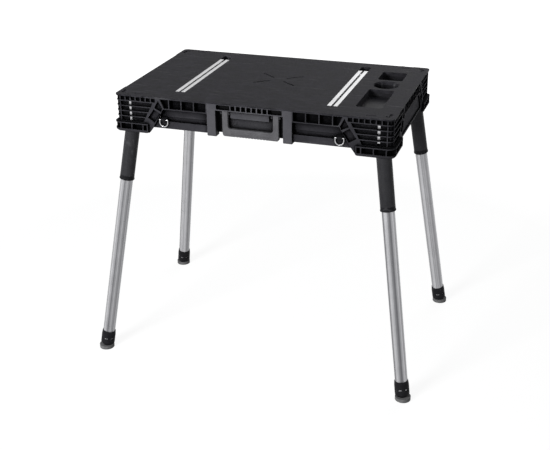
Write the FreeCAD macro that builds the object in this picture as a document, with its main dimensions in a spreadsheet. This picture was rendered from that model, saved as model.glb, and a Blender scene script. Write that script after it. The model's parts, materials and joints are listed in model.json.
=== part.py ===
import FreeCAD, Part
import math
import os
import re

import Sketcher
from FreeCAD import Placement, Rotation, Vector

# Folding work table, millimetres. +X runs along the length to the tray end, -Y is the handle side,
# +Z is up, and the origin is on the floor under the middle. Pieces of the front half are drawn
# and mirrored to the back. The top, the rails and the trays differ between left and right.

SIZES = {
    # Table top
    "table_height": 850.0,
    "plate_rim": 4.0,
    "plate_depth": 10.0,
    "plate_corner": 14.0,
    "plate_overhang": 2.0,
    "ear_run_x": 52.0,
    "ear_run_y": 75.0,
    "nub_width": 9.0,
    "nub_offset": 82.0,
    # Case walls under the top
    "case_length": 834.0,
    "case_width": 526.0,
    "case_corner": 14.0,
    "side_wall": 11.0,
    "end_wall": 8.0,
    "skirt_wall": 19.0,
    "skirt_lift": 17.0,
    "rib": 3.0,
    "row_lip": 1.0,
    # Corner blocks: the steps say how far each corner of the ladder stands in from its widest
    "block_depth": 112.0,
    "block_bulge": 8.0,
    "bulge_rim": 9.0,
    "rim_bevel": 4.0,
    "foot_row": 20.0,
    "slot_cut": 8.0,
    "end_slot_cut": 5.5,
    "ladder_run": 153.0,
    "ladder_drop": 29.0,
    "apex_step": 16.0,
    "ladder_foot_step": 33.0,
    "ladder_foot_rise": 23.0,
    "toe_step": 50.0,
    "ladder_side_step": 55.0,
    "slot_gap": 31.0,
    "slot_step": 8.7,
    "window_run": 42.0,
    "window_width": 9.0,
    # Skirts between the blocks
    "post_outer": 128.0,
    "post_width": 26.0,
    "post_lift": 10.0,
    "post_bevel": 4.0,
    "cell_drop": 28.0,
    "cell_cut": 15.0,
    "panel_cut": 14.0,
    "groove_height": 13.0,
    "groove_cut": 16.0,
    "lip_height": 22.0,
    "lip_cut": 7.0,
    "end_panel_cut": 4.0,
    # Handle bay
    "bay_depth": 25.0,
    "bay_wall": 3.0,
    "bay_cell_drop": 18.0,
    "bay_cell": 12.5,
    "bay_cell_gap": 16.0,
    "bay_box_gap": 10.0,
    "bay_box_drop": 40.0,
    "bay_box_cut": 8.0,
    # Rails and beds
    "right_rail_inset": 192.0,
    "left_rail_inset": 177.0,
    "rail_width": 30.0,
    "rail_depth": 12.0,
    "rail_front_inset": 71.0,
    "rail_back_inset": 87.0,
    "entry_inset": 43.0,
    "rail_slot": 7.0,
    "rail_flange": 3.0,
    "rail_wall": 2.5,
    "rail_floor": 2.0,
    "rail_gap": 0.2,
    "bed_wall": 3.0,
    "bed_floor": 3.0,
    # Trays and cup holder
    "tray_inset": 53.0,
    "tray_width": 76.0,
    "front_tray_inset": 87.0,
    "front_tray_gap": 16.0,
    "rear_tray_inset": 77.0,
    "rear_tray_run": 88.0,
    "tray_deep": 24.0,
    "tray_corner": 8.0,
    "bin_wall": 2.5,
    "cup_radius": 36.0,
    "cup_gap": 14.0,
    "cup_mouth": 3.0,
    "cup_deep": 46.0,
    "cup_round": 6.0,
    # Marks in the top
    "cross_y": 12.0,
    "cross_start": 26.0,
    "cross_length": 56.0,
    "cross_width": 6.0,
    "cross_cut": 2.5,
    "dash_run": 56.0,
    "dash_length": 28.0,
    "dash_width": 6.0,
    "dash_edge": 20.0,
    "hook_edge": 13.0,
    "hook_run": 50.0,
    "hook_length": 30.0,
    "hook_width": 8.0,
    "mark_cut": 2.5,
    # Ribs under the top
    "web_thick": 2.5,
    "web_depth": 20.0,
    "web_inset": 123.0,
    "web_gap": 37.5,
    # Handle
    "handle_side_gap": 16.0,
    "handle_thick": 12.0,
    "handle_arm": 18.0,
    "handle_bar": 24.0,
    "handle_corner": 8.0,
    "handle_round": 3.0,
    "handle_inset": 17.0,
    "handle_top": 5.0,
    "handle_gap": 2.0,
    "grip_pitch": 9.0,
    "grip_width": 4.0,
    "grip_cut": 2.0,
    "pivot_radius": 3.0,
    "pivot_fit": 0.05,
    "lug_thick": 5.0,
    "lug_gap": 0.5,
    "lug_radius": 6.0,
    # Tie rings
    "ring_wire": 1.7,
    "ring_half": 12.5,
    "ring_side": 8.0,
    "ring_inset": 151.0,
    "ring_seat": 8.0,
    "ring_standoff": 4.3,
    "clip_half": 8.0,
    "clip_half_height": 5.0,
    "clip_face": 3.2,
    "ring_fit": 0.1,
    # Legs: how far out the feet stand, and how far in the legs leave the case's underside
    "foot_out_x": 74.0,
    "foot_out_y": 53.0,
    "exit_inset_x": 32.0,
    "exit_inset_y": 37.0,
    "sleeve_radius": 22.0,
    "sleeve_fit": 0.2,
    "sleeve_show": 166.0,
    "collar_length": 14.0,
    "collar_lip": 4.0,
    "collar_bevel": 1.0,
    "collar_radius": 23.0,
    "tube_radius": 19.0,
    "tube_wall": 1.6,
    "tube_travel": 85.0,
    "travel_spare": 6.0,
    # Left legs fold into a lower layer and right legs into an upper one
    "left_hinge_rise": 15.5,
    "left_hinge_offset": 9.0,
    "left_boss": 11.0,
    "left_crown_rise": 5.6,
    "left_crown_run": 30.4,
    "left_boss_front": 22.4,
    "left_boss_back": 24.6,
    "left_pin_front": 26.8,
    "left_pin_back": 29.0,
    "right_hinge_rise": 50.5,
    "right_hinge_offset": 20.5,
    "right_boss": 7.5,
    "right_crown_rise": 0.4,
    "right_crown_run": 42.4,
    "right_boss_front": 26.3,
    "right_boss_back": 27.5,
    "right_pin_front": 30.0,
    "right_pin_back": 31.3,
    "stow_drift": 58.0,
    "knuckle_half": 20.0,
    "knuckle_drop": 14.0,
    "knuckle_step": 5.0,
    "spigot_length": 12.0,
    "pin_radius": 4.0,
    "pin_fit": 0.05,
    # Hinge brackets of bent sheet
    "sheet": 3.0,
    "bracket_outer_inset": 62.0,
    "bracket_inner_inset": 55.0,
    "bracket_lift": 4.0,
    "left_bracket_inset": 67.5,
    "left_bracket_rise": 47.0,
    "right_bracket_inset": 73.0,
    "right_bracket_rise": 37.0,
    # Feet
    "cap_radius": 22.0,
    "cap_length": 56.0,
    "cap_above_floor": 5.0,
    "cap_shoulder": 13.0,
    "cap_neck_radius": 20.8,
    "cap_fit": 0.1,
    "cap_floor": 13.0,
    "chin_radius": 24.0,
    "shoe_radius": 23.5,
    "shoe_height": 11.0,
    "shoe_gap": 0.3,
    "vent_high": 5.0,
    "vent_wide": 12.0,
    "vent_rise": 30.0,
    # Cutting tools run past the surface by this much
    "overrun": 5.0,
}

# Places and lengths that follow from the sizes
PLACES = {
    "plate_length": "case_length + 2 * plate_overhang",
    "plate_width": "case_width + 2 * plate_overhang",
    "skirt_depth": "block_depth - skirt_lift",
    "post_depth": "block_depth - post_lift",
    "apex_run": "ladder_run - apex_step",
    "ladder_foot_run": "ladder_run - ladder_foot_step",
    "ladder_foot_drop": "block_depth - plate_rim - ladder_foot_rise",
    "toe_run": "ladder_run - toe_step",
    "ladder_side_run": "ladder_run - ladder_side_step",
    "slot_run": "ladder_run - slot_gap",
    "groove_drop": "skirt_depth - plate_rim - lip_height",
    "panel_drop": "groove_drop - groove_height",
    "rail_centre_right": "case_length / 2 - right_rail_inset",
    "rail_centre_left": "left_rail_inset - case_length / 2",
    "rail_front": "rail_front_inset - case_width / 2",
    "rail_back": "case_width / 2 - rail_back_inset",
    "entry_back": "case_width / 2 - entry_inset",
    "tray_right": "case_length / 2 - tray_inset",
    "tray_left": "tray_right - tray_width",
    "rear_tray_back": "case_width / 2 - rear_tray_inset",
    "rear_tray_front": "rear_tray_back - rear_tray_run",
    "cup_x": "(tray_left + tray_right) / 2",
    "cup_y": "rear_tray_front - cup_gap - cup_radius",
    "front_tray_back": "cup_y - cup_radius - front_tray_gap",
    "front_tray_front": "front_tray_inset - case_width / 2",
    "web_half_x": "(rail_centre_right - rail_centre_left) / 2 - web_gap",
    "web_half_y": "case_width / 2 - web_inset",
    "handle_width": "2 * (post_outer - post_width - handle_side_gap)",
    "handle_height": "post_depth - plate_rim - bay_cell_drop - handle_gap",
    "bay_box_half": "handle_width / 2 - handle_arm - bay_box_gap",
    "ring_x": "case_length / 2 - ring_inset",
    "ring_drop": "plate_rim + panel_drop + ring_seat",
    "foot_x": "case_length / 2 + foot_out_x",
    "foot_y": "case_width / 2 + foot_out_y",
    "exit_x": "case_length / 2 - exit_inset_x",
    "exit_y": "case_width / 2 - exit_inset_y",
    "left_hinge_height": "table_height - block_depth + left_hinge_rise",
    "right_hinge_height": "table_height - block_depth + right_hinge_rise",
    "bracket_outer_x": "case_length / 2 - bracket_outer_inset",
    "bracket_inner_x": "case_length / 2 - bracket_inner_inset",
    "left_bracket_y": "case_width / 2 - left_bracket_inset",
    "left_inner_top": "table_height - block_depth + left_bracket_rise",
    "right_bracket_y": "case_width / 2 - right_bracket_inset",
    "right_bracket_low": "table_height - block_depth + right_bracket_rise",
}

# Rows of openings in a corner block above the bulging one
ROW_COUNT = 5

# Two places closer than this are taken as one
NEAR = SIZES["rib"] / 100

# Direction of the slanted grooves, along and across the table, as shares of their length
CROSS_SHARES = (0.788, 0.616)
# Corners of the ladder's two holes, as shares of its width inwards and of its height down
LADDER_HOLE_SHARES = (
    ((0.29, 0.07), (0.055, 0.34), (0.13, 0.47), (0.53, 0.34)),
    ((0.565, 0.39), (0.175, 0.54), (0.545, 0.88), (0.925, 0.715)),
)
# Width of each long cell in the bulging row, as a share of the row
FOOT_CELL_SHARE = 0.384

doc = FreeCAD.newDocument("WorkTable")
sheet = doc.addObject("Spreadsheet::Sheet", "Sizes")
nodes = []
stored = []


def store(name, value):
    """Add a length, or the formula that gives it, to the sheet under its name."""
    stored.append(name)
    row = len(stored)
    sheet.set(f"A{row}", name)
    sheet.set(f"B{row}", str(value))
    sheet.setAlias(f"B{row}", name)
    return name


for name, value in SIZES.items():
    store(name, value)
for name, text in PLACES.items():
    store(name, f"={text}")
doc.recompute()


def formula(text):
    """Return text with each size's name pointing at its cell."""
    return re.sub(r"[a-z_]+", lambda m: f"Sizes.{m[0]}" if m[0] in stored else m[0], str(text))


def size(name):
    return sheet.get(name)


def node(thing, name):
    """Register thing as the sub-part called name."""
    thing.Label = name
    nodes.append(thing)
    return thing


def plane_of(body, role):
    for feature in body.Origin.OriginFeatures:
        if feature.Role == role:
            return feature


def new_body(name):
    return doc.addObject("PartDesign::Body", name.replace("_", " ").title().replace(" ", ""))


def new_sketch(body, plane, height="0", shift_x="0", shift_y="0"):
    """Open a sketch on one of the body's origin planes, moved along its normal and in its plane."""
    sketch = body.newObject("Sketcher::SketchObject", "Sketch")
    sketch.AttachmentSupport = [(plane_of(body, plane), "")]
    sketch.MapMode = "FlatFace"
    sketch.setExpression("AttachmentOffset.Base.x", formula(shift_x))
    sketch.setExpression("AttachmentOffset.Base.y", formula(shift_y))
    sketch.setExpression("AttachmentOffset.Base.z", formula(height))
    return sketch


def fix(sketch, kind, geometry, point, text):
    """Hold a point's distance from the sketch origin at the formula's value."""
    index = sketch.addConstraint(
        Sketcher.Constraint(kind, -1, 1, geometry, point, 1.0)
    )
    sketch.setExpression(f"Constraints[{index}]", formula(text))


def outline(sketch, points):
    """Draw a closed polygon through points, each a pair of formulas."""
    first = sketch.GeometryCount
    count = len(points)
    turn = 2 * math.pi / count
    start = [Vector(math.cos(turn * i), math.sin(turn * i), 0) for i in range(count)]
    for i in range(count):
        sketch.addGeometry(Part.LineSegment(start[i], start[(i + 1) % count]), False)
    for i in range(count):
        following = first + (i + 1) % count
        sketch.addConstraint(Sketcher.Constraint("Coincident", first + i, 2, following, 1))
    for i, (x, y) in enumerate(points):
        fix(sketch, "DistanceX", first + i, 1, x)
        fix(sketch, "DistanceY", first + i, 1, y)


def rectangle(sketch, x, y):
    """Draw a rectangle between the two formulas of x and the two of y."""
    outline(sketch, [(x[0], y[0]), (x[1], y[0]), (x[1], y[1]), (x[0], y[1])])


def circle(sketch, x, y, radius):
    index = sketch.addGeometry(Part.Circle(Vector(0, 0, 0), Vector(0, 0, 1), 1.0), False)
    fix(sketch, "DistanceX", index, 3, x)
    fix(sketch, "DistanceY", index, 3, y)
    held = sketch.addConstraint(Sketcher.Constraint("Radius", index, 1.0))
    sketch.setExpression(f"Constraints[{held}]", formula(radius))


def pad(body, sketch, length, reversed_=False, midplane=False):
    feature = body.newObject("PartDesign::Pad", "Pad")
    feature.Profile = sketch
    feature.setExpression("Length", formula(length))
    feature.Reversed = reversed_
    feature.Midplane = midplane
    return feature


def pocket(body, sketch, length, reversed_=False, midplane=False):
    feature = body.newObject("PartDesign::Pocket", "Pocket")
    feature.Profile = sketch
    feature.setExpression("Length", formula(length))
    feature.Reversed = reversed_
    feature.Midplane = midplane
    return feature


def revolve(body, sketch):
    feature = body.newObject("PartDesign::Revolution", "Revolution")
    feature.Profile = sketch
    feature.ReferenceAxis = (sketch, ["V_Axis"])
    feature.Angle = 360
    return feature


def turned(name, points, shift_x="0"):
    """Make a body by turning a profile of (radius, height) formulas about an upright axis."""
    body = new_body(name)
    sketch = new_sketch(body, "XZ_Plane", shift_x=shift_x)
    outline(sketch, points)
    revolve(body, sketch)
    return body


def is_upright(edge):
    box = edge.BoundBox
    return box.XLength < NEAR and box.YLength < NEAR and box.ZLength > NEAR


def upright_edges(shape, x_limit, y_limit):
    """Name the edges along Z that lie beyond both limits from the middle."""
    return [
        f"Edge{index}"
        for index, edge in enumerate(shape.Edges, start=1)
        if is_upright(edge)
        and abs(edge.BoundBox.XMin) > x_limit
        and abs(edge.BoundBox.YMin) > y_limit
    ]


def dress(body, kind, size_name, edges):
    """Add a Fillet or a Chamfer of the named size along the given edges of the tip."""
    base = body.Tip
    feature = body.newObject(f"PartDesign::{kind}", kind)
    feature.Base = (base, edges)
    feature.setExpression("Radius" if kind == "Fillet" else "Size", formula(size_name))
    return feature


def mirrored(source, name, normal):
    """Make the sub-part that mirrors source in the plane through the origin."""
    copy = doc.addObject("Part::Mirroring", name.replace("_", " ").title().replace(" ", ""))
    copy.Source = source
    copy.Normal = normal
    return node(copy, name)


def block(name, x, y, z):
    """Make a box between pairs of formulas."""
    box = doc.addObject("Part::Box", name)
    for span, length, axis in ((x, "Length", "x"), (y, "Width", "y"), (z, "Height", "z")):
        box.setExpression(length, formula(f"({span[1]}) - ({span[0]})"))
        box.setExpression(f"Placement.Base.{axis}", formula(span[0]))
    return box


FRONT = Vector(0, 1, 0)
SIDE = Vector(1, 0, 0)

top = "table_height"
case_top = "table_height - plate_rim"
slab_under = "table_height - plate_depth"
block_bottom = "table_height - block_depth"
skirt_bottom = "table_height - skirt_depth"
# Where the ladder's outer line crosses the skirt's lower edge
ladder_slope = "(ladder_run - ladder_foot_run) / (ladder_foot_drop - ladder_drop)"
low_run = f"(ladder_foot_run - {ladder_slope} * (skirt_depth - plate_rim - ladder_foot_drop))"


# Top plate: a thin rim over the walls and a thicker slab between them
def build_top_plate():
    body = new_body("top_plate")
    rim = new_sketch(body, "XY_Plane", height=case_top)
    rectangle(
        rim,
        ("-case_length / 2", "case_length / 2"),
        ("-case_width / 2", "case_width / 2"),
    )
    pad(body, rim, "plate_rim")
    # The four ears stand out past the walls, and so do nubs beside them
    ears = new_sketch(body, "XY_Plane", height=case_top)
    nub_start = "plate_length / 2 - nub_offset - nub_width"
    nub_end = "plate_length / 2 - nub_offset"
    for side_x in ("-", ""):
        for side_y in ("-", ""):
            rectangle(
                ears,
                (f"{side_x}(plate_length / 2 - ear_run_x)", f"{side_x}plate_length / 2"),
                (f"{side_y}(plate_width / 2 - ear_run_y)", f"{side_y}plate_width / 2"),
            )
            rectangle(
                ears,
                (f"{side_x}({nub_start})", f"{side_x}({nub_end})"),
                (f"{side_y}(case_width / 2 - overrun)", f"{side_y}plate_width / 2"),
            )
    pad(body, ears, "plate_rim")
    # The slab fills the room between the skirts and leaves a notch for each bay
    slab = new_sketch(body, "XY_Plane", height=case_top)
    slab_end = "(case_length / 2 - skirt_wall)"
    slab_edge = "(case_width / 2 - skirt_wall)"
    notch = "(case_width / 2 - bay_depth - bay_wall)"
    outline(
        slab,
        [
            (f"-{slab_end}", f"-{slab_edge}"),
            ("-post_outer", f"-{slab_edge}"),
            ("-post_outer", f"-{notch}"),
            ("post_outer", f"-{notch}"),
            ("post_outer", f"-{slab_edge}"),
            (slab_end, f"-{slab_edge}"),
            (slab_end, slab_edge),
            ("post_outer", slab_edge),
            ("post_outer", notch),
            ("-post_outer", notch),
            ("-post_outer", slab_edge),
            (f"-{slab_end}", slab_edge),
        ],
    )
    pad(body, slab, "plate_depth - plate_rim", reversed_=True)
    # Rail slots run on into the entry holes behind the rails
    openings = new_sketch(body, "XY_Plane", height=top)
    for centre in ("rail_centre_left", "rail_centre_right"):
        rectangle(
            openings,
            (
                f"{centre} - rail_width / 2 - rail_gap",
                f"{centre} + rail_width / 2 + rail_gap",
            ),
            ("rail_front - rail_gap", "entry_back"),
        )
    circle(openings, "cup_x", "cup_y", "cup_radius")
    pocket(body, openings, "plate_depth + overrun")
    trays = new_sketch(body, "XY_Plane", height=top)
    for front, back in (
        ("front_tray_front", "front_tray_back"),
        ("rear_tray_front", "rear_tray_back"),
    ):
        rectangle(trays, ("tray_left", "tray_right"), (front, back))
    pocket(body, trays, "plate_depth + overrun")
    marks = new_sketch(body, "XY_Plane", height=top)
    for side_x in ("-", ""):
        for side_y in ("-", ""):
            dash = "plate_length / 2 - dash_run"
            rectangle(
                marks,
                (f"{side_x}({dash} - dash_length)", f"{side_x}({dash})"),
                (
                    f"{side_y}(plate_width / 2 - dash_edge - dash_width)",
                    f"{side_y}(plate_width / 2 - dash_edge)",
                ),
            )
            hook = "plate_length / 2 - hook_edge"
            hook_y = "plate_width / 2 - hook_run"
            outline(
                marks,
                [
                    (f"{side_x}({hook})", f"{side_y}({hook_y} + hook_length)"),
                    (f"{side_x}({hook})", f"{side_y}({hook_y})"),
                    (f"{side_x}({hook} - hook_width)", f"{side_y}({hook_y})"),
                    (
                        f"{side_x}({hook} - hook_width)",
                        f"{side_y}({hook_y} + hook_length - hook_width)",
                    ),
                    (
                        f"{side_x}({hook} - 2 * hook_width)",
                        f"{side_y}({hook_y} + hook_length - hook_width)",
                    ),
                    (
                        f"{side_x}({hook} - 2 * hook_width)",
                        f"{side_y}({hook_y} + hook_length)",
                    ),
                ],
            )
    pocket(body, marks, "mark_cut")
    # Four slanted grooves that hold a round bar
    cross = new_sketch(body, "XY_Plane", height=top)
    reach = "cross_start + cross_length"
    for side_x in (-1, 1):
        for side_y in (-1, 1):
            along = (side_x * CROSS_SHARES[0], side_y * CROSS_SHARES[1])
            across = (-along[1], along[0])
            corners = []
            for distance, side in (
                ("cross_start", "-"),
                (f"({reach})", "-"),
                (f"({reach})", "+"),
                ("cross_start", "+"),
            ):
                corners.append(
                    (
                        f"{distance} * {along[0]} {side} cross_width / 2 * {across[0]}",
                        f"cross_y + {distance} * {along[1]} {side} cross_width / 2 * {across[1]}",
                    )
                )
            outline(cross, corners)
    pocket(body, cross, "cross_cut")
    doc.recompute()
    corner_x = size("plate_length") / 2 - size("plate_overhang") / 2
    corner_y = size("plate_width") / 2 - size("plate_overhang") / 2
    dress(body, "Fillet", "plate_corner", upright_edges(body.Shape, corner_x, corner_y))
    doc.recompute()
    dress(body, "Fillet", "tray_corner", tray_corner_edges(body.Shape))
    doc.recompute()
    mouth = [
        f"Edge{index}"
        for index, edge in enumerate(body.Shape.Edges, start=1)
        if edge.BoundBox.ZMin > size("table_height") - NEAR
        and abs(edge.Length - 2 * math.pi * size("cup_radius")) < NEAR
    ]
    dress(body, "Chamfer", "cup_mouth", mouth)
    return node(body, "top_plate")


def tray_corner_edges(shape):
    """Name the upright edges at the corners of the two tray openings and the entry holes."""
    corners = []
    for x in ("tray_left", "tray_right"):
        for y in ("front_tray_front", "front_tray_back", "rear_tray_front", "rear_tray_back"):
            corners.append((size(x), size(y)))
    half = size("rail_width") / 2 + size("rail_gap")
    for centre in ("rail_centre_left", "rail_centre_right"):
        corners.append((size(centre) - half, size("entry_back")))
        corners.append((size(centre) + half, size("entry_back")))
    found = []
    for index, edge in enumerate(shape.Edges, start=1):
        place = (edge.BoundBox.XMin, edge.BoundBox.YMin)
        if is_upright(edge) and any(math.dist(place, corner) < NEAR for corner in corners):
            found.append(f"Edge{index}")
    return found


# Corner block: an L of two walls, with fins, pockets and a ladder of ribs towards each skirt
def build_corner_block():
    body = new_body("corner_front_right")
    x_out = "case_length / 2"
    y_out = "-case_width / 2"
    plan = new_sketch(body, "XY_Plane", height=block_bottom)
    outline(
        plan,
        [
            ("case_length / 2 - ladder_run - rib", y_out),
            (x_out, y_out),
            (x_out, "-case_width / 2 + ladder_run + rib"),
            ("case_length / 2 - end_wall", "-case_width / 2 + ladder_run + rib"),
            ("case_length / 2 - end_wall", "-case_width / 2 + side_wall"),
            ("case_length / 2 - ladder_run - rib", "-case_width / 2 + side_wall"),
        ],
    )
    pad(body, plan, "block_depth - plate_rim")
    doc.recompute()
    dress(body, "Fillet", "case_corner", outer_corner_edges(body.Shape))
    # The lowest row bulges past the rest
    bulge = new_sketch(body, "XY_Plane", height=block_bottom)
    outline(
        bulge,
        [
            ("case_length / 2 - toe_run", "-case_width / 2 - block_bulge"),
            ("case_length / 2 + block_bulge", "-case_width / 2 - block_bulge"),
            ("case_length / 2 + block_bulge", "-case_width / 2 + toe_run"),
            ("case_length / 2 - end_wall", "-case_width / 2 + toe_run"),
            ("case_length / 2 - end_wall", "-case_width / 2 + side_wall"),
            ("case_length / 2 - toe_run", "-case_width / 2 + side_wall"),
        ],
    )
    pad(body, bulge, "bulge_rim + foot_row")
    doc.recompute()
    outer = size("case_length") / 2 + size("block_bulge") / 2
    edges = [
        f"Edge{index}"
        for index, edge in enumerate(body.Shape.Edges, start=1)
        if is_upright(edge)
        and edge.BoundBox.XMin > outer
        and edge.BoundBox.YMax < -size("case_width") / 2
    ]
    dress(body, "Fillet", "case_corner + block_bulge", edges)
    doc.recompute()
    low = size("table_height") - size("block_depth")
    rim = [
        f"Edge{index}"
        for index, edge in enumerate(body.Shape.Edges, start=1)
        if edge.BoundBox.ZMax < low + NEAR
        and (
            edge.BoundBox.XMin > size("case_length") / 2 - size("case_corner")
            and edge.BoundBox.XMax > size("case_length") / 2 + size("block_bulge") / 2
            or edge.BoundBox.YMin < -(size("case_width") + size("block_bulge")) / 2
            and edge.BoundBox.YMax < -(size("case_width") / 2 - size("case_corner"))
        )
    ]
    dress(body, "Chamfer", "rim_bevel", rim)
    # Each wall ends in the slanted line of its ladder
    for plane, half, sign, wall, face in (
        ("XZ_Plane", "case_length / 2", "", "side_wall", "case_width / 2"),
        ("YZ_Plane", "case_width / 2", "-", "end_wall", "case_length / 2"),
    ):
        away = new_sketch(body, plane, height=f"{face} + block_bulge")
        ends = f"{half} - ladder_run - rib - overrun"
        points = [
            (ends, f"{case_top} + overrun"),
            (f"{half} - apex_run", f"{case_top} + overrun"),
            (f"{half} - apex_run", case_top),
            (f"{half} - ladder_run", f"{case_top} - ladder_drop"),
            (f"{half} - ladder_foot_run", f"{case_top} - ladder_foot_drop"),
            (f"{half} - toe_run", block_bottom),
            (f"{half} - toe_run", f"{block_bottom} - overrun"),
            (ends, f"{block_bottom} - overrun"),
        ]
        outline(away, [(f"{sign}({x})", z) for x, z in points])
        pocket(body, away, f"block_bulge + {wall} + overrun")
    # Pockets and slots, first on the long side and then on the short side
    for plane, half, sign, cut, face in (
        ("XZ_Plane", "case_length / 2", "", "slot_cut", "case_width / 2"),
        ("YZ_Plane", "case_width / 2", "-", "end_slot_cut", "case_length / 2"),
    ):
        cells = new_sketch(body, plane, height=face)
        for points in wall_cells(half):
            outline(cells, [(f"{sign}({x})", z) for x, z in points])
        pocket(body, cells, cut)
        feet = new_sketch(body, plane, height=f"{face} + block_bulge")
        rectangles = foot_cells(half)
        for x, z in rectangles:
            rectangle(feet, (f"{sign}({x[0]})", f"{sign}({x[1]})"), z)
        pocket(body, feet, f"block_bulge + {cut}")
    # The same rows run round the corner
    turn = new_sketch(
        body,
        "XZ_Plane",
        height="case_width / 2 - case_corner",
        shift_x="case_length / 2 - case_corner",
    )
    inner = "case_corner - end_slot_cut"
    for high, low in slot_rows():
        rectangle(turn, (inner, "case_corner + overrun"), (low, high))
    rectangle(
        turn,
        (inner, "case_corner + block_bulge + overrun"),
        (f"{block_bottom} + bulge_rim", f"{block_bottom} + bulge_rim + foot_row - rib"),
    )
    groove = body.newObject("PartDesign::Groove", "Groove")
    groove.Profile = turn
    groove.ReferenceAxis = (turn, ["V_Axis"])
    groove.Angle = 90
    groove.Reversed = True
    # Small windows in the slots show the hinge bracket behind the wall
    windows = new_sketch(body, "XZ_Plane", height="case_width / 2")
    for high, low in slot_rows()[1:]:
        rectangle(
            windows,
            (
                "case_length / 2 - window_run - window_width / 2",
                "case_length / 2 - window_run + window_width / 2",
            ),
            (low, high),
        )
    pocket(body, windows, "side_wall + overrun")
    return node(body, "corner_front_right")


def outer_corner_edges(shape):
    """Name the upright edge at the outer corner of the front right block."""
    corner_point = (size("case_length") / 2, -size("case_width") / 2)
    return [
        f"Edge{index}"
        for index, edge in enumerate(shape.Edges, start=1)
        if is_upright(edge)
        and math.dist((edge.BoundBox.XMin, edge.BoundBox.YMin), corner_point) < NEAR
    ]


def slot_rows():
    """List the top and bottom of the top row and of the four slots under it."""
    fin_pitch = f"(block_depth - plate_rim - bulge_rim - foot_row) / {ROW_COUNT}"
    rows = [(f"{case_top} - row_lip", f"{case_top} - {fin_pitch} + rib")]
    for i in range(1, ROW_COUNT):
        rows.append(
            (f"{case_top} - {i} * {fin_pitch}", f"{case_top} - {i + 1} * {fin_pitch} + rib")
        )
    return rows


def wall_cells(half):
    """List the outlines of the ladder's two holes, the top row's cells and the four slots."""
    cells = []
    for hole_shares in LADDER_HOLE_SHARES:
        cells.append(
            [
                (
                    f"{half} - ladder_run + {inward_share} * (ladder_run - ladder_side_run)",
                    f"{case_top} - {down_share} * ladder_foot_drop",
                )
                for inward_share, down_share in hole_shares
            ]
        )
    rows = slot_rows()
    count = 7
    pitch = f"(apex_run - case_corner - 3 * rib) / {count}"
    for i in range(count):
        start = f"{half} - case_corner - rib - {i} * {pitch}"
        cells.append(
            [
                (f"{start} - {pitch} + rib", rows[0][1]),
                (start, rows[0][1]),
                (start, rows[0][0]),
                (f"{start} - {pitch} + rib", rows[0][0]),
            ]
        )
    for i, (high, low) in enumerate(rows[1:]):
        cells.append(
            [
                (f"{half} - slot_run + {i + 1} * slot_step", low),
                (f"{half} - case_corner - rib", low),
                (f"{half} - case_corner - rib", high),
                (f"{half} - slot_run + {i} * slot_step + rib", high),
            ]
        )
    return cells


def foot_cells(half):
    """List the spans of the three cells in the bulging lowest row."""
    spans = []
    low = f"{block_bottom} + bulge_rim"
    foot_cell = f"{FOOT_CELL_SHARE} * (toe_run - case_corner - rib)"
    for i in range(3):
        end = f"{half} - case_corner - rib - {i} * ({foot_cell} + rib)"
        start = f"{end} - {foot_cell}" if i < 2 else f"{half} - toe_run + rib"
        spans.append(((start, end), (low, f"{low} + foot_row - rib")))
    return spans


# Skirt between a post and a corner block: a row of cells, a sunk panel, a groove and a lip
def build_side_skirt():
    body = new_body("skirt_front_right")
    half = "case_length / 2"
    face = "case_width / 2"
    ladder_mid = f"{case_top} - ladder_drop"
    face_sketch = new_sketch(body, "XZ_Plane", height=face)
    outline(
        face_sketch,
        [
            ("post_outer", skirt_bottom),
            (f"{half} - {low_run}", skirt_bottom),
            (f"{half} - ladder_run", ladder_mid),
            (f"{half} - apex_run", case_top),
            ("post_outer", case_top),
        ],
    )
    pad(body, face_sketch, "skirt_wall", reversed_=True)
    cells = new_sketch(body, "XZ_Plane", height=face)
    row = (f"{case_top} - cell_drop", f"{case_top} - row_lip")
    # Three whole cells and a slanted one, half as long, beside the block
    count = 3
    pitch = f"({half} - ladder_run - post_outer) / {count + 1 / 2}"
    for i in range(count):
        start = f"post_outer + rib + {i} * {pitch}"
        rectangle(cells, (start, f"{start} + {pitch} - rib"), row)
    last = f"post_outer + rib + {count} * {pitch}"
    outline(
        cells,
        [
            (last, row[0]),
            (f"{half} - ladder_run - rib / 2", row[0]),
            (f"{half} - apex_run - 2 * rib", row[1]),
            (last, row[1]),
        ],
    )
    pocket(body, cells, "cell_cut")
    # Each band below the cells has its own depth
    bands = (
        ("cell_drop + rib", "panel_drop", "panel_cut"),
        ("panel_drop", "groove_drop", "groove_cut"),
        ("groove_drop", "skirt_depth - plate_rim + overrun", "lip_cut"),
    )
    for start_drop, end_drop, cut in bands:
        band = new_sketch(body, "XZ_Plane", height=face)
        rectangle(
            band,
            ("post_outer - overrun", f"{half} - toe_run"),
            (f"{case_top} - ({end_drop})", f"{case_top} - ({start_drop})"),
        )
        pocket(body, band, cut)
    return node(body, "skirt_front_right")


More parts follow.
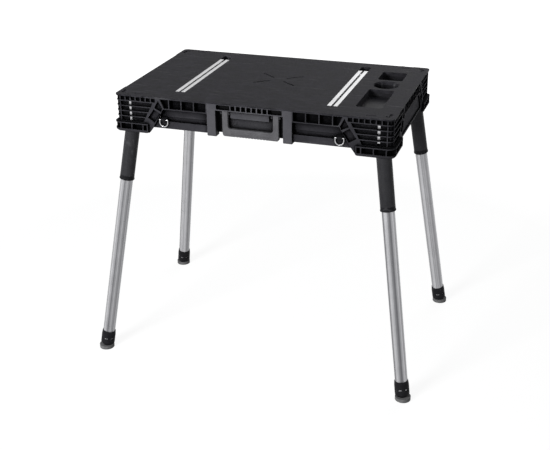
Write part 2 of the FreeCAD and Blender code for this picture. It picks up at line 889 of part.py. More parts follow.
# End skirt: the same language with narrower cells and a shallower panel
def build_end_skirt():
    body = new_body("skirt_right_end")
    half = "case_width / 2"
    face = "case_length / 2"
    points = [
        (f"{half} - {low_run}", skirt_bottom),
        (f"{half} - ladder_run", f"{case_top} - ladder_drop"),
        (f"{half} - apex_run", case_top),
    ]
    face_sketch = new_sketch(body, "YZ_Plane", height=face)
    outline(face_sketch, points + [(f"-({y})", z) for y, z in reversed(points)])
    pad(body, face_sketch, "end_wall", reversed_=True)
    cells = new_sketch(body, "YZ_Plane", height=face)
    row = (f"{case_top} - cell_drop", f"{case_top} - row_lip")
    count = 9
    pitch = f"2 * ({half} - ladder_run) / {count}"
    for i in range(count):
        start = f"{i - count / 2} * {pitch} + rib / 2"
        rectangle(cells, (start, f"{start} + {pitch} - rib"), row)
    pocket(body, cells, "end_slot_cut")
    panel = new_sketch(body, "YZ_Plane", height=face)
    panel_points = [
        (f"{half} - {low_run} - 2 * rib", f"{skirt_bottom} + 2 * rib"),
        (f"{half} - ladder_run - rib", f"{case_top} - ladder_drop - rib"),
    ]
    outline(panel, panel_points + [(f"-({y})", z) for y, z in reversed(panel_points)])
    pocket(body, panel, "end_panel_cut")
    return node(body, "skirt_right_end")


# Middle bay between two posts, open in front, with a row of cells above
def build_bay(name, with_lugs):
    body = new_body(name)
    face = "case_width / 2"
    back = new_sketch(body, "XZ_Plane", height=f"{face} - bay_depth")
    rectangle(
        back, ("-post_outer + post_width", "post_outer - post_width"), (skirt_bottom, case_top)
    )
    pad(body, back, "bay_wall", reversed_=True)
    posts = new_sketch(body, "XZ_Plane", height=face)
    for sign in ("-", ""):
        rectangle(
            posts,
            (f"{sign}post_outer", f"{sign}(post_outer - post_width)"),
            ("table_height - post_depth", case_top),
        )
    pad(body, posts, "bay_depth + bay_wall", reversed_=True)
    doc.recompute()
    post_low = size("table_height") - size("post_depth")
    toes = [
        f"Edge{index}"
        for index, edge in enumerate(body.Shape.Edges, start=1)
        if edge.BoundBox.ZMax < post_low + NEAR
        and edge.BoundBox.YMax < NEAR - size("case_width") / 2
    ]
    dress(body, "Chamfer", "post_bevel", toes)
    row_block = new_sketch(body, "XZ_Plane", height=face)
    rectangle(
        row_block,
        ("-post_outer + post_width", "post_outer - post_width"),
        (f"{case_top} - bay_cell_drop", case_top),
    )
    pad(body, row_block, "bay_depth + bay_wall", reversed_=True)
    box = new_sketch(body, "XZ_Plane", height=f"{face} - bay_box_cut")
    rectangle(
        box,
        ("-bay_box_half", "bay_box_half"),
        (f"{case_top} - bay_box_drop", f"{case_top} - bay_cell_drop"),
    )
    pad(body, box, "bay_depth - bay_box_cut", reversed_=True)
    cells = new_sketch(body, "XZ_Plane", height=face)
    row = (f"{case_top} - bay_cell_drop + rib", f"{case_top} - row_lip")
    count = 7
    for i in range(count):
        middle = f"{i - (count - 1) / 2} * bay_cell_gap"
        rectangle(cells, (f"{middle} - bay_cell / 2", f"{middle} + bay_cell / 2"), row)
    edge = f"{count / 2} * bay_cell_gap + rib / 2"
    for sign in ("-", ""):
        rectangle(
            cells,
            (f"{sign}({edge})", f"{sign}(post_outer - post_width - rib)"),
            row,
        )
    pocket(body, cells, "cell_cut")
    if with_lugs:
        # Two lugs beside each arm of the handle carry its pivot pin
        for sign in ("-", ""):
            for start, end in lug_spans():
                lug = new_sketch(body, "YZ_Plane", height=f"{sign}({start})")
                rectangle(
                    lug,
                    (f"{pivot_y} - lug_radius", "-(case_width / 2 - bay_depth - bay_wall / 2)"),
                    (f"{pivot_z} - lug_radius", f"{case_top} - bay_cell_drop"),
                )
                pad(body, lug, f"{end} - ({start})", reversed_=sign == "-")
        bores = new_sketch(body, "YZ_Plane")
        circle(bores, pivot_y, pivot_z, "pivot_radius")
        pocket(body, bores, "2 * (handle_width / 2 + lug_gap + lug_thick)", midplane=True)
    return node(body, name)


def lug_spans():
    """List where the inner and the outer lug start and end along the length."""
    inner = "handle_width / 2 - handle_arm - lug_gap"
    outer = "handle_width / 2 + lug_gap"
    return [(f"{inner} - lug_thick", inner), (outer, f"{outer} + lug_thick")]


pivot_y = "-(case_width / 2 - handle_inset)"
pivot_z = f"{case_top} - bay_cell_drop - handle_gap - handle_top"


# Rails: extruded channels with a slot between their two top strips
def build_rail(name, centre):
    body = new_body(name)
    section = new_sketch(body, "XZ_Plane", height="-rail_front")
    half = "rail_width / 2"
    under = "table_height - rail_depth"
    left = [
        (f"{centre} - rail_slot / 2", top),
        (f"{centre} - {half}", top),
        (f"{centre} - {half}", under),
    ]
    right = [
        (f"{centre} + {half}", under),
        (f"{centre} + {half}", top),
        (f"{centre} + rail_slot / 2", top),
        (f"{centre} + rail_slot / 2", f"{top} - rail_flange"),
        (f"{centre} + {half} - rail_wall", f"{top} - rail_flange"),
        (f"{centre} + {half} - rail_wall", f"{under} + rail_floor"),
        (f"{centre} - {half} + rail_wall", f"{under} + rail_floor"),
        (f"{centre} - {half} + rail_wall", f"{top} - rail_flange"),
        (f"{centre} - rail_slot / 2", f"{top} - rail_flange"),
    ]
    outline(section, left + right)
    pad(body, section, "rail_back - rail_front", reversed_=True)
    return node(body, name)


# Beds: troughs under the top that carry the rails and close the entry holes
def build_bed(name, centre):
    body = new_body(name)
    section = new_sketch(body, "XZ_Plane", height="-rail_front + bed_wall")
    half = "(rail_width / 2 + rail_gap)"
    under = "table_height - rail_depth - bed_floor"
    outline(
        section,
        [
            (f"{centre} - {half} - bed_wall", under),
            (f"{centre} + {half} + bed_wall", under),
            (f"{centre} + {half} + bed_wall", slab_under),
            (f"{centre} + {half}", slab_under),
            (f"{centre} + {half}", f"{under} + bed_floor"),
            (f"{centre} - {half}", f"{under} + bed_floor"),
            (f"{centre} - {half}", slab_under),
            (f"{centre} - {half} - bed_wall", slab_under),
        ],
    )
    pad(body, section, "entry_back - rail_front + 2 * bed_wall", reversed_=True)
    return node(body, name)


# Trays: bins that hang under the openings of the top
def build_tray(name, front, back):
    body = new_body(name)
    shell = new_sketch(body, "XY_Plane", height=slab_under)
    rectangle(
        shell,
        ("tray_left - bin_wall", "tray_right + bin_wall"),
        (f"{front} - bin_wall", f"{back} + bin_wall"),
    )
    pad(body, shell, "tray_deep - plate_depth + bin_wall", reversed_=True)
    hollow = new_sketch(body, "XY_Plane", height=slab_under)
    rectangle(hollow, ("tray_left", "tray_right"), (front, back))
    pocket(body, hollow, "tray_deep - plate_depth")
    doc.recompute()
    middle = (size("tray_left") + size("tray_right")) / 2
    inner_half = (size("tray_right") - size("tray_left")) / 2
    for radius, reach in (
        ("tray_corner", inner_half),
        ("tray_corner + bin_wall", inner_half + size("bin_wall")),
    ):
        corners = [
            f"Edge{index}"
            for index, edge in enumerate(body.Shape.Edges, start=1)
            if is_upright(edge) and abs(abs(edge.BoundBox.XMin - middle) - reach) < NEAR
        ]
        dress(body, "Fillet", radius, corners)
        doc.recompute()
    return node(body, name)


def build_cup():
    body = new_body("cup_holder")
    sketch = new_sketch(body, "XZ_Plane", height="-cup_y", shift_x="cup_x")
    outline(
        sketch,
        [
            ("cup_radius", slab_under),
            ("cup_radius + bin_wall", slab_under),
            ("cup_radius + bin_wall", f"{top} - cup_deep + cup_round"),
            ("cup_radius - cup_round", f"{top} - cup_deep - bin_wall"),
            ("0", f"{top} - cup_deep - bin_wall"),
            ("0", f"{top} - cup_deep"),
            ("cup_radius - cup_round", f"{top} - cup_deep"),
            ("cup_radius", f"{top} - cup_deep + cup_round"),
        ],
    )
    revolve(body, sketch)
    return node(body, "cup_holder")


# Grid of ribs that stiffens the top between the rails
def build_webs():
    body = new_body("top_webs")
    sketch = new_sketch(body, "XY_Plane", height=slab_under)
    middle = "(rail_centre_left + rail_centre_right) / 2"
    x = (f"{middle} - web_half_x", f"{middle} + web_half_x")
    y = ("-web_half_y", "web_half_y")
    rectangle(sketch, x, y)
    rectangle(
        sketch,
        (f"{x[0]} + web_thick", f"{x[1]} - web_thick"),
        (f"{y[0]} + web_thick", f"{y[1]} - web_thick"),
    )
    pad(body, sketch, "web_depth", reversed_=True)
    columns = 7
    rows = 5
    across = new_sketch(body, "XY_Plane", height=slab_under)
    for i in range(1, columns):
        place = f"{x[0]} + web_thick / 2 + 2 * (web_half_x - web_thick / 2) * {i} / {columns}"
        rectangle(
            across,
            (f"{place} - web_thick / 2", f"{place} + web_thick / 2"),
            (f"{y[0]} + web_thick / 2", f"{y[1]} - web_thick / 2"),
        )
    pad(body, across, "web_depth", reversed_=True)
    along = new_sketch(body, "XY_Plane", height=slab_under)
    for i in range(1, rows):
        place = f"{y[0]} + web_thick / 2 + 2 * (web_half_y - web_thick / 2) * {i} / {rows}"
        rectangle(
            along,
            (f"{x[0]} + web_thick / 2", f"{x[1]} - web_thick / 2"),
            (f"{place} - web_thick / 2", f"{place} + web_thick / 2"),
        )
    pad(body, along, "web_depth", reversed_=True)
    return node(body, "top_webs")


# Carrying handle: a flat U with a ribbed grip, hung from a pin through each arm
def build_handle():
    body = new_body("handle")
    outer = "handle_width / 2"
    inner = "handle_width / 2 - handle_arm"
    arm_top = f"{pivot_z} + handle_top"
    sketch = new_sketch(
        body, "XZ_Plane", height="case_width / 2 - handle_inset + handle_thick / 2"
    )
    outline(
        sketch,
        [
            (f"-({outer})", arm_top),
            (f"-({outer})", f"{arm_top} - handle_height"),
            (outer, f"{arm_top} - handle_height"),
            (outer, arm_top),
            (inner, arm_top),
            (inner, f"{arm_top} - handle_height + handle_bar"),
            (f"-({inner})", f"{arm_top} - handle_height + handle_bar"),
            (f"-({inner})", arm_top),
        ],
    )
    pad(body, sketch, "handle_thick", reversed_=True)
    doc.recompute()
    low = size("table_height") - size("plate_rim") - size("bay_cell_drop")
    low -= size("handle_gap") + size("handle_height") / 2
    corners = [
        f"Edge{index}"
        for index, edge in enumerate(body.Shape.Edges, start=1)
        if edge.BoundBox.XLength < NEAR
        and edge.BoundBox.ZLength < NEAR
        and edge.BoundBox.ZMax < low
    ]
    dress(body, "Fillet", "handle_corner", corners)
    doc.recompute()
    front = [
        f"Edge{index}"
        for index, edge in enumerate(body.Shape.Edges, start=1)
        if edge.BoundBox.YLength < NEAR
    ]
    dress(body, "Fillet", "handle_round", front)
    grip = new_sketch(body, "XZ_Plane", height="case_width / 2")
    count = 11
    for i in range(count):
        place = f"{i - (count - 1) / 2} * grip_pitch"
        rectangle(
            grip,
            (f"{place} - grip_width / 2", f"{place} + grip_width / 2"),
            (
                f"{arm_top} - handle_height - overrun",
                f"{arm_top} - handle_height + grip_cut",
            ),
        )
    pocket(body, grip, "handle_inset + handle_thick")
    bores = new_sketch(body, "YZ_Plane")
    circle(bores, pivot_y, pivot_z, "pivot_radius + pivot_fit")
    pocket(body, bores, "handle_width + overrun", midplane=True)
    return node(body, "handle")


def build_handle_pins():
    pins = []
    for side, sign in (("left", "-"), ("right", "")):
        pin = doc.addObject("Part::Cylinder", f"HandlePin{side.title()}")
        pin.setExpression("Radius", formula("pivot_radius"))
        pin.setExpression("Height", formula("handle_arm + 2 * (lug_gap + lug_thick)"))
        pin.Placement = Placement(Vector(0, 0, 0), Rotation(Vector(0, 1, 0), 90))
        start = "handle_width / 2 - handle_arm - lug_gap - lug_thick"
        if sign:
            start = "-(handle_width / 2 + lug_gap + lug_thick)"
        pin.setExpression("Placement.Base.x", formula(start))
        pin.setExpression("Placement.Base.y", formula(pivot_y))
        pin.setExpression("Placement.Base.z", formula(pivot_z))
        pins.append(pin)
    pair = doc.addObject("Part::Compound", "HandlePins")
    pair.Links = pins
    return node(pair, "handle_pins")


# Tie rings: bent wire hung in a clip on the skirt's lip
ring_y = "-(case_width / 2 - lip_cut + ring_standoff)"
ring_z = "table_height - ring_drop"


def build_ring(name):
    body = new_body(name)
    bend = body.newObject("PartDesign::AdditiveTorus", "Bend")
    bend.setExpression("Radius1", formula("ring_half"))
    bend.setExpression("Radius2", formula("ring_wire"))
    bend.Angle3 = 180
    bend.Placement = Placement(Vector(0, 0, 0), Rotation(Vector(1, 0, 0), -90))
    bend.setExpression("Placement.Base.x", formula("ring_x"))
    bend.setExpression("Placement.Base.y", formula(ring_y))
    bend.setExpression("Placement.Base.z", formula(f"{ring_z} - ring_side"))
    for sign in ("-", "+"):
        leg = body.newObject("PartDesign::AdditiveCylinder", "Leg")
        leg.setExpression("Radius", formula("ring_wire"))
        leg.setExpression("Height", formula("ring_side"))
        leg.setExpression("Placement.Base.x", formula(f"ring_x {sign} ring_half"))
        leg.setExpression("Placement.Base.y", formula(ring_y))
        leg.setExpression("Placement.Base.z", formula(f"{ring_z} - ring_side"))
        elbow = body.newObject("PartDesign::AdditiveSphere", "Elbow")
        elbow.setExpression("Radius", formula("ring_wire"))
        elbow.setExpression("Placement.Base.x", formula(f"ring_x {sign} ring_half"))
        elbow.setExpression("Placement.Base.y", formula(ring_y))
        elbow.setExpression("Placement.Base.z", formula(ring_z))
    bar = body.newObject("PartDesign::AdditiveCylinder", "Bar")
    bar.Placement = Placement(Vector(0, 0, 0), Rotation(Vector(0, 1, 0), 90))
    bar.setExpression("Radius", formula("ring_wire"))
    bar.setExpression("Height", formula("2 * ring_half"))
    bar.setExpression("Placement.Base.x", formula("ring_x - ring_half"))
    bar.setExpression("Placement.Base.y", formula(ring_y))
    bar.setExpression("Placement.Base.z", formula(ring_z))
    return node(body, name)


def build_clip(name):
    body = new_body(name)
    sketch = new_sketch(body, "YZ_Plane", height="ring_x")
    outline(
        sketch,
        [
            ("-(case_width / 2 - groove_cut)", f"{ring_z} - clip_half_height"),
            (f"{ring_y} - clip_face", f"{ring_z} - clip_half_height + rib / 2"),
            (f"{ring_y} - clip_face", f"{ring_z} + clip_half_height - rib / 2"),
            ("-(case_width / 2 - groove_cut)", f"{ring_z} + clip_half_height"),
        ],
    )
    pad(body, sketch, "2 * clip_half", midplane=True)
    bore = new_sketch(body, "YZ_Plane", height="ring_x")
    circle(bore, ring_y, ring_z, "ring_wire + ring_fit")
    pocket(body, bore, "2 * clip_half + overrun", midplane=True)
    return node(body, name)


# Legs. Each leg's own frame has its origin on the fold hinge: x points away from the middle of
# the table, y along the hinge pin and z up the open leg.
class Leg:
    """Frame of one front leg and its lengths below the hinge."""

    def __init__(self, side):
        self.side = side
        outward = -1 if side == "left" else 1
        drop = size("table_height") - size("block_depth")
        lean_x = (size("foot_x") - size("exit_x")) / drop
        lean_y = (size("foot_y") - size("exit_y")) / drop
        down = Vector(outward * lean_x, -lean_y, -1)
        down.normalize()
        level = size(f"{side}_hinge_height")
        drift = size("stow_drift") / level
        pin = down.cross(Vector(-outward, drift, 0))
        pin.normalize()
        up = down.negative()
        out = pin.cross(up)
        offset = size(f"{side}_hinge_offset")
        middle_level = level - offset * out.z
        rise = drop - middle_level
        middle = Vector(
            outward * (size("exit_x") + lean_x * rise),
            -(size("exit_y") + lean_y * rise),
            middle_level,
        )
        hinge = middle + out * offset
        self.to_floor = middle_level / up.z
        self.in_case = -rise / up.z
        matrix = FreeCAD.Matrix(
            out.x, pin.x, up.x, hinge.x,
            out.y, pin.y, up.y, hinge.y,
            out.z, pin.z, up.z, hinge.z,
            0, 0, 0, 1,
        )
        self.frame = Placement(matrix)
        # The pin's own direction points forward on the left and backward on the right
        front, back = f"{side}_{{}}_front", f"{side}_{{}}_back"
        self.plus, self.minus = (front, back) if side == "left" else (back, front)

    def place(self, body, name):
        body.Placement = self.frame
        return node(body, f"{name}_{self.side}_front")


def build_leg(side):
    """Make one front leg with its pin and bracket, and return the nodes by name."""
    leg = Leg(side)
    to_floor = store(f"{side}_to_floor", leg.to_floor)
    in_case = store(f"{side}_in_case", leg.in_case)
    offset = f"{side}_hinge_offset"
    centre = f"-{offset}"
    show_end = f"-({in_case} + sleeve_show)"

    # Knuckle: a block round the pin whose top stays clear of the end wall as it swings
    knuckle = new_body(f"knuckle_{side}")
    boss = f"{side}_boss"
    reach = f"({offset} + sleeve_radius)"
    profile = new_sketch(knuckle, "XZ_Plane", height="-knuckle_half")
    outline(
        profile,
        [
            (f"-{reach}", "-knuckle_drop"),
            (f"-{reach}", "0"),
            (f"-{side}_crown_run", f"{side}_crown_rise"),
            ("0", boss),
            (boss, "0"),
            (boss, "-knuckle_step"),
            (f"sleeve_radius - {offset}", "-knuckle_drop"),
        ],
    )
    pad(knuckle, profile, "2 * knuckle_half")
    hub = new_sketch(knuckle, "XZ_Plane", height=f"-{leg.plus.format('boss')}")
    circle(hub, "0", "0", boss)
    pad(knuckle, hub, f"{leg.plus.format('boss')} + {leg.minus.format('boss')}")
    spigot = new_sketch(knuckle, "XY_Plane", height="-knuckle_drop", shift_x=centre)
    circle(spigot, "0", "0", "tube_radius")
    pad(knuckle, spigot, "spigot_length", reversed_=True)
    bore = new_sketch(knuckle, "XZ_Plane")
    circle(bore, "0", "0", "pin_radius + pin_fit")
    pocket(knuckle, bore, "4 * knuckle_half", midplane=True)

    # Sleeve of round pipe, and the collar that guides the inner tube at its mouth
    sleeve_end = f"{show_end} + collar_length"
    sleeve = new_body(f"sleeve_{side}")
    ring = new_sketch(sleeve, "XY_Plane", height="-knuckle_drop", shift_x=centre)
    circle(ring, "0", "0", "sleeve_radius")
    circle(ring, "0", "0", "tube_radius + sleeve_fit")
    pad(sleeve, ring, f"-knuckle_drop - ({sleeve_end})", reversed_=True)
    collar = turned(
        f"collar_{side}",
        [
            ("tube_radius + sleeve_fit", sleeve_end),
            ("sleeve_radius", sleeve_end),
            ("sleeve_radius", f"{show_end} + collar_lip + 2 * collar_bevel"),
            ("collar_radius", f"{show_end} + collar_lip"),
            ("collar_radius", f"{show_end} + collar_bevel"),
            ("collar_radius - collar_bevel", show_end),
            ("tube_radius + sleeve_fit", show_end),
        ],
        shift_x=centre,
    )

    # Inner tube, long enough to stay guided through the whole travel
    tube_top = "-(knuckle_drop + spigot_length + tube_travel + travel_spare)"
    foot = f"-{to_floor} + cap_above_floor"
    tube = new_body(f"tube_{side}")
    ring = new_sketch(tube, "XY_Plane", height=tube_top, shift_x=centre)
    circle(ring, "0", "0", "tube_radius")
    circle(ring, "0", "0", "tube_radius - tube_wall")
    pad(tube, ring, f"{tube_top} - ({foot} + cap_floor)", reversed_=True)

    # Foot cap with a round chin, and the level shoe dished to take it
    chin = f"{foot} + chin_radius"
    points = [
        ("0", f"{foot} + cap_floor"),
        ("tube_radius + cap_fit", f"{foot} + cap_floor"),
        ("tube_radius + cap_fit", f"{foot} + cap_length"),
        ("cap_neck_radius", f"{foot} + cap_length"),
        ("cap_radius", f"{foot} + cap_length - cap_shoulder"),
    ]
    widest = math.asin(size("cap_radius") / size("chin_radius"))
    steps = 6
    for i in range(steps):
        turn = widest * (steps - i) / steps
        points.append(
            (
                f"chin_radius * {math.sin(turn):.6f}",
                f"{chin} - chin_radius * {math.cos(turn):.6f}",
            )
        )
    points.append(("0", foot))
    cap = turned(f"cap_{side}", points, shift_x=centre)
    vent = new_sketch(cap, "XZ_Plane", shift_x=centre)
    rectangle(
        vent,
        ("-vent_wide / 2", "vent_wide / 2"),
        (f"{foot} + vent_rise - vent_high / 2", f"{foot} + vent_rise + vent_high / 2"),
    )
    cut = pocket(cap, vent, "cap_radius + overrun")
    vents = cap.newObject("PartDesign::PolarPattern", "Vents")
    vents.Originals = [cut]
    vents.Axis = (vent, ["V_Axis"])
    vents.Angle = 360
    vents.Occurrences = 6
    cap.Tip = vents
    outward = "-" if side == "left" else ""
    shoe = new_body(f"shoe_{side}")
    disc = new_sketch(
        shoe, "XY_Plane", shift_x=f"{outward}foot_x", shift_y="-foot_y"
    )
    circle(disc, "0", "0", "shoe_radius")
    pad(shoe, disc, "shoe_height")
    dish = shoe.newObject("PartDesign::SubtractiveSphere", "Dish")
    dish.setExpression("Radius", formula("chin_radius + shoe_gap"))
    heel = size("cap_above_floor") + size("chin_radius") - leg.to_floor
    dish.Placement = Placement(leg.frame.multVec(Vector(-size(offset), 0, heel)), Rotation())

    hole = doc.addObject("Part::Cylinder", f"PinHole{side.title()}")
    hole.setExpression("Radius", formula("pin_radius + pin_fit"))
    hole.setExpression("Height", formula("8 * knuckle_half"))
    lay = Rotation(Vector(1, 0, 0), -90)
    hole.Placement = leg.frame * Placement(Vector(0, -4 * size("knuckle_half"), 0), lay)
    pin = doc.addObject("Part::Cylinder", f"Pin{side.title()}")
    pin.setExpression("Radius", formula("pin_radius"))
    pin.setExpression("Height", formula(f"{side}_pin_front + {side}_pin_back"))
    start = size(leg.minus.format("pin"))
    pin.Placement = leg.frame * Placement(Vector(0, -start, 0), lay)
    made = {}
    for body, name in (
        (knuckle, "knuckle"),
        (sleeve, "sleeve"),
        (collar, "collar"),
        (tube, "tube"),
        (cap, "cap"),
    ):
        made[name] = leg.place(body, name)
    made["shoe"] = node(shoe, f"shoe_{side}_front")
    made["bracket"] = build_bracket(side, hole)
    mirror_pin = doc.addObject("Part::Mirroring", f"PinBack{side.title()}")
    mirror_pin.Source = pin
    mirror_pin.Normal = FRONT
    pair = doc.addObject("Part::Compound", f"HingePins{side.title()}")
    pair.Links = [pin, mirror_pin]
    node(pair, f"hinge_pins_{side}")
    return made


def build_bracket(side, hole):
    """Make the bent sheet that carries a front leg's pin between the wall and an inner plate."""
    outward = "-" if side == "left" else ""
    x_wall = "case_length / 2 - end_wall"
    y_wall = "-(case_width / 2 - side_wall)"
    inner_y = f"-{side}_bracket_y"
    slab = slab_under

    def span(start):
        ends = (f"{outward}({x_wall})", f"{outward}({start})")
        return ends if outward else ends[::-1]

    if side == "left":
        low = f"{block_bottom} + bracket_lift"
        inner_z = (low, "left_inner_top")
        web = (
            span(f"{x_wall} - sheet"),
            (y_wall, inner_y),
            (f"{block_bottom} + 2 * bracket_lift", "left_inner_top"),
        )
    else:
        low = "right_bracket_low"
        inner_z = (low, slab)
        web = (span("bracket_inner_x"), (y_wall, inner_y), (f"{slab} - sheet", slab))
    title = side.title()
    outer = block(
        f"BracketOuter{title}",
        span("bracket_outer_x"),
        (y_wall, f"{y_wall} + sheet"),
        (low, slab),
    )
    inner = block(
        f"BracketInner{title}",
        span("bracket_inner_x"),
        (f"{inner_y} - sheet", inner_y),
        inner_z,
    )
    fuse = doc.addObject("Part::MultiFuse", f"BracketSheet{title}")
    fuse.Shapes = [outer, inner, block(f"BracketWeb{title}", *web)]
    cut = doc.addObject("Part::Cut", f"Bracket{title}")
    cut.Base = fuse
    cut.Tool = hole
    return node(cut, f"bracket_{side}_front")


build_top_plate()
corner = build_corner_block()
corner_left = mirrored(corner, "corner_front_left", SIDE)
mirrored(corner, "corner_back_right", FRONT)
mirrored(corner_left, "corner_back_left", FRONT)
skirt = build_side_skirt()
skirt_left = mirrored(skirt, "skirt_front_left", SIDE)
mirrored(skirt, "skirt_back_right", FRONT)
mirrored(skirt_left, "skirt_back_left", FRONT)
mirrored(build_end_skirt(), "skirt_left_end", SIDE)
build_bay("bay_front", True)
plain_bay = build_bay("bay_pattern", False)
nodes.remove(plain_bay)
mirrored(plain_bay, "bay_back", FRONT)
for side in ("left", "right"):
    build_rail(f"rail_{side}", f"rail_centre_{side}")
    build_bed(f"rail_bed_{side}", f"rail_centre_{side}")
build_tray("tray_front", "front_tray_front", "front_tray_back")
build_tray("tray_rear", "rear_tray_front", "rear_tray_back")
build_cup()
build_webs()
build_handle()
build_handle_pins()
mirrored(build_ring("ring_right"), "ring_left", SIDE)
mirrored(build_clip("ring_clip_right"), "ring_clip_left", SIDE)
for side in ("left", "right"):
    for name, front_piece in build_leg(side).items():
        mirrored(front_piece, f"{name}_{side}_back", FRONT)

doc.recompute()
for thing in doc.Objects:
    if "Invalid" in thing.State or "Error" in thing.State:
        raise RuntimeError(f"{thing.Label} did not compute: {thing.State}")
os.makedirs("parts", exist_ok=True)
for thing in nodes:
    shape = thing.Shape
    if shape.isNull() or not shape.isValid():
        raise RuntimeError(f"{thing.Label} has no valid shape")
    shape.exportStep(f"parts/{thing.Label}.step")
    box = shape.BoundBox
    print(f"{thing.Label}: {len(shape.Solids)} solid, volume {shape.Volume:.0f}, {box}")
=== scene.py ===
import json
import math

import bmesh
import bpy
from mathutils import Matrix, Vector


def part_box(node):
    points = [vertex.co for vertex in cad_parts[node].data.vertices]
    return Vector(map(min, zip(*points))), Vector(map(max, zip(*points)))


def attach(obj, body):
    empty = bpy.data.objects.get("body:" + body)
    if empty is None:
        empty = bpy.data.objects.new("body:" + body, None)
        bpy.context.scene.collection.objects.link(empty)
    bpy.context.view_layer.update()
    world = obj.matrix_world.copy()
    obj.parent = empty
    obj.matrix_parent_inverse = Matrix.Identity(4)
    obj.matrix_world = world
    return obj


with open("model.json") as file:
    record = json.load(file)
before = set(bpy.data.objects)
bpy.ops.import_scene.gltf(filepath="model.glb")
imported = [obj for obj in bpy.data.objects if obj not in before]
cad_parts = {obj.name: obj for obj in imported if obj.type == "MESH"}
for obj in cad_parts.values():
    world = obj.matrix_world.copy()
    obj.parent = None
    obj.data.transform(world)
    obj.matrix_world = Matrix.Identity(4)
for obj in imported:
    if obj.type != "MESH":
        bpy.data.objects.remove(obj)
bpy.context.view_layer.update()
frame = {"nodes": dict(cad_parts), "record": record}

# The studio: a white floor, a white surround and three soft lamps. Floor and surround show
# white to the camera, to gloss and to glass. The lamps and a faint room light light the table,
# and near it the floor keeps enough of its own colour to hold a shadow.

WHITE = (1.0, 1.0, 1.0, 1.0)
FLOOR_HALF = 14.0
FLOOR_COLOUR = (0.5, 0.5, 0.5, 1.0)
ROOM_TINT = (0.96, 0.98, 1.0, 1.0)
ROOM_LIGHT = 0.14
GLOW_STRENGTH = 1.55
NEAR_GLOW = 0.58
FAR_GLOW = 0.76
SHADOW_REACH = 1.3
WHITE_REACH = 3.2

LAMP_AIM = Vector((0.0, 0.0, 0.6))
LAMPS = (
    # name, place, width, power
    ("key lamp", (-1.5, -3.6, 1.9), 1.2, 128.0),
    ("side lamp", (2.6, -2.9, 1.5), 1.6, 6.0),
    ("back lamp", (0.4, 2.8, 2.8), 2.0, 22.0),
)

room = bpy.data.scenes[0]
room.view_settings.view_transform = "Standard"


def add_object(name, data):
    """Make an object of a mesh, a lamp or a camera and put it in the room."""
    made = bpy.data.objects.new(name, data)
    room.collection.objects.link(made)
    return made


def feed(tree, node, feeds):
    """Feed a node's sockets, each with a plain value or with a link from another socket."""
    for key, value in feeds.items():
        if isinstance(value, bpy.types.NodeSocket):
            tree.links.new(value, node.inputs[key])
        else:
            node.inputs[key].default_value = value
    return node


def place(tree, kind, feeds=None, **switches):
    """Add a shader node, set its switches and feed its sockets."""
    node = tree.nodes.new("ShaderNode" + kind)
    for key, value in switches.items():
        setattr(node, key, value)
    return feed(tree, node, feeds or {})


def calculate(tree, operation, first, second):
    """Give the result of a Math node on two values."""
    return place(tree, "Math", {0: first, 1: second}, operation=operation).outputs[0]


def calculate_vector(tree, operation, first, second):
    """Give the result of a Vector Math node on two vectors."""
    return place(tree, "VectorMath", {0: first, 1: second}, operation=operation).outputs[0]


def remap(tree, value, span, result=(0.0, 1.0)):
    """Stretch a value's span to the span of the result, and clamp it there."""
    low, high = span
    result_low, result_high = result
    return place(tree, "MapRange",
                 {0: value, 1: low, 2: high, 3: result_low, 4: result_high}).outputs[0]


def seen_white(tree):
    """Give a mask that is 1 for rays that show the surround: camera, glossy, transmission."""
    path = place(tree, "LightPath").outputs
    seen = calculate(tree, "MAXIMUM", path["Is Camera Ray"], path["Is Glossy Ray"])
    return calculate(tree, "MAXIMUM", seen, path["Is Transmission Ray"])


def empty_material(name):
    """Make a material that holds only its output, and give its tree and its output too."""
    material = bpy.data.materials.new(name)
    material.use_nodes = True
    tree = material.node_tree
    tree.nodes.clear()
    return material, tree, tree.nodes.new("ShaderNodeOutputMaterial")


floor_mesh = bpy.data.meshes.new("floor")
floor_mesh.from_pydata(
    [(FLOOR_HALF * x, FLOOR_HALF * y, 0) for x, y in ((-1, -1), (1, -1), (1, 1), (-1, 1))],
    [], [(0, 1, 2, 3)])
floor = add_object("floor", floor_mesh)
floor_paint, tree, out = empty_material("floor paint")
matt = place(tree, "BsdfDiffuse", {"Color": FLOOR_COLOUR})
glow = place(tree, "Emission", {"Color": WHITE, "Strength": GLOW_STRENGTH})
spot = place(tree, "TexCoord").outputs["Object"]
far_off = place(tree, "VectorMath", {0: spot}, operation="LENGTH").outputs["Value"]
paler = remap(tree, far_off, (SHADOW_REACH, WHITE_REACH), (NEAR_GLOW, FAR_GLOW))
share = calculate(tree, "MULTIPLY", seen_white(tree), paler)
mixed = place(tree, "MixShader", {0: share, 1: matt.outputs[0], 2: glow.outputs[0]})
feed(tree, out, {"Surface": mixed.outputs[0]})
floor_mesh.materials.append(floor_paint)

surround = bpy.data.worlds.new("surround")
surround.use_nodes = True
room.world = surround
tree = surround.node_tree
tree.nodes.clear()
sky = place(tree, "Background", {"Color": WHITE, "Strength": 1.0})
fill = place(tree, "Background", {"Color": ROOM_TINT, "Strength": ROOM_LIGHT})
mixed = place(tree, "MixShader", {0: seen_white(tree), 1: fill.outputs[0], 2: sky.outputs[0]})
feed(tree, tree.nodes.new("ShaderNodeOutputWorld"), {"Surface": mixed.outputs[0]})

for name, where, width, power in LAMPS:
    lamp = bpy.data.lights.new(name, "AREA")
    lamp.size = width
    lamp.energy = power
    stand = add_object(name, lamp)
    stand.location = where
    stand.rotation_euler = (LAMP_AIM - Vector(where)).to_track_quat("-Z", "Y").to_euler()

# The photographer's camera. Its place, its aim and its lens were fitted to the outline that
# the table has in the photograph.

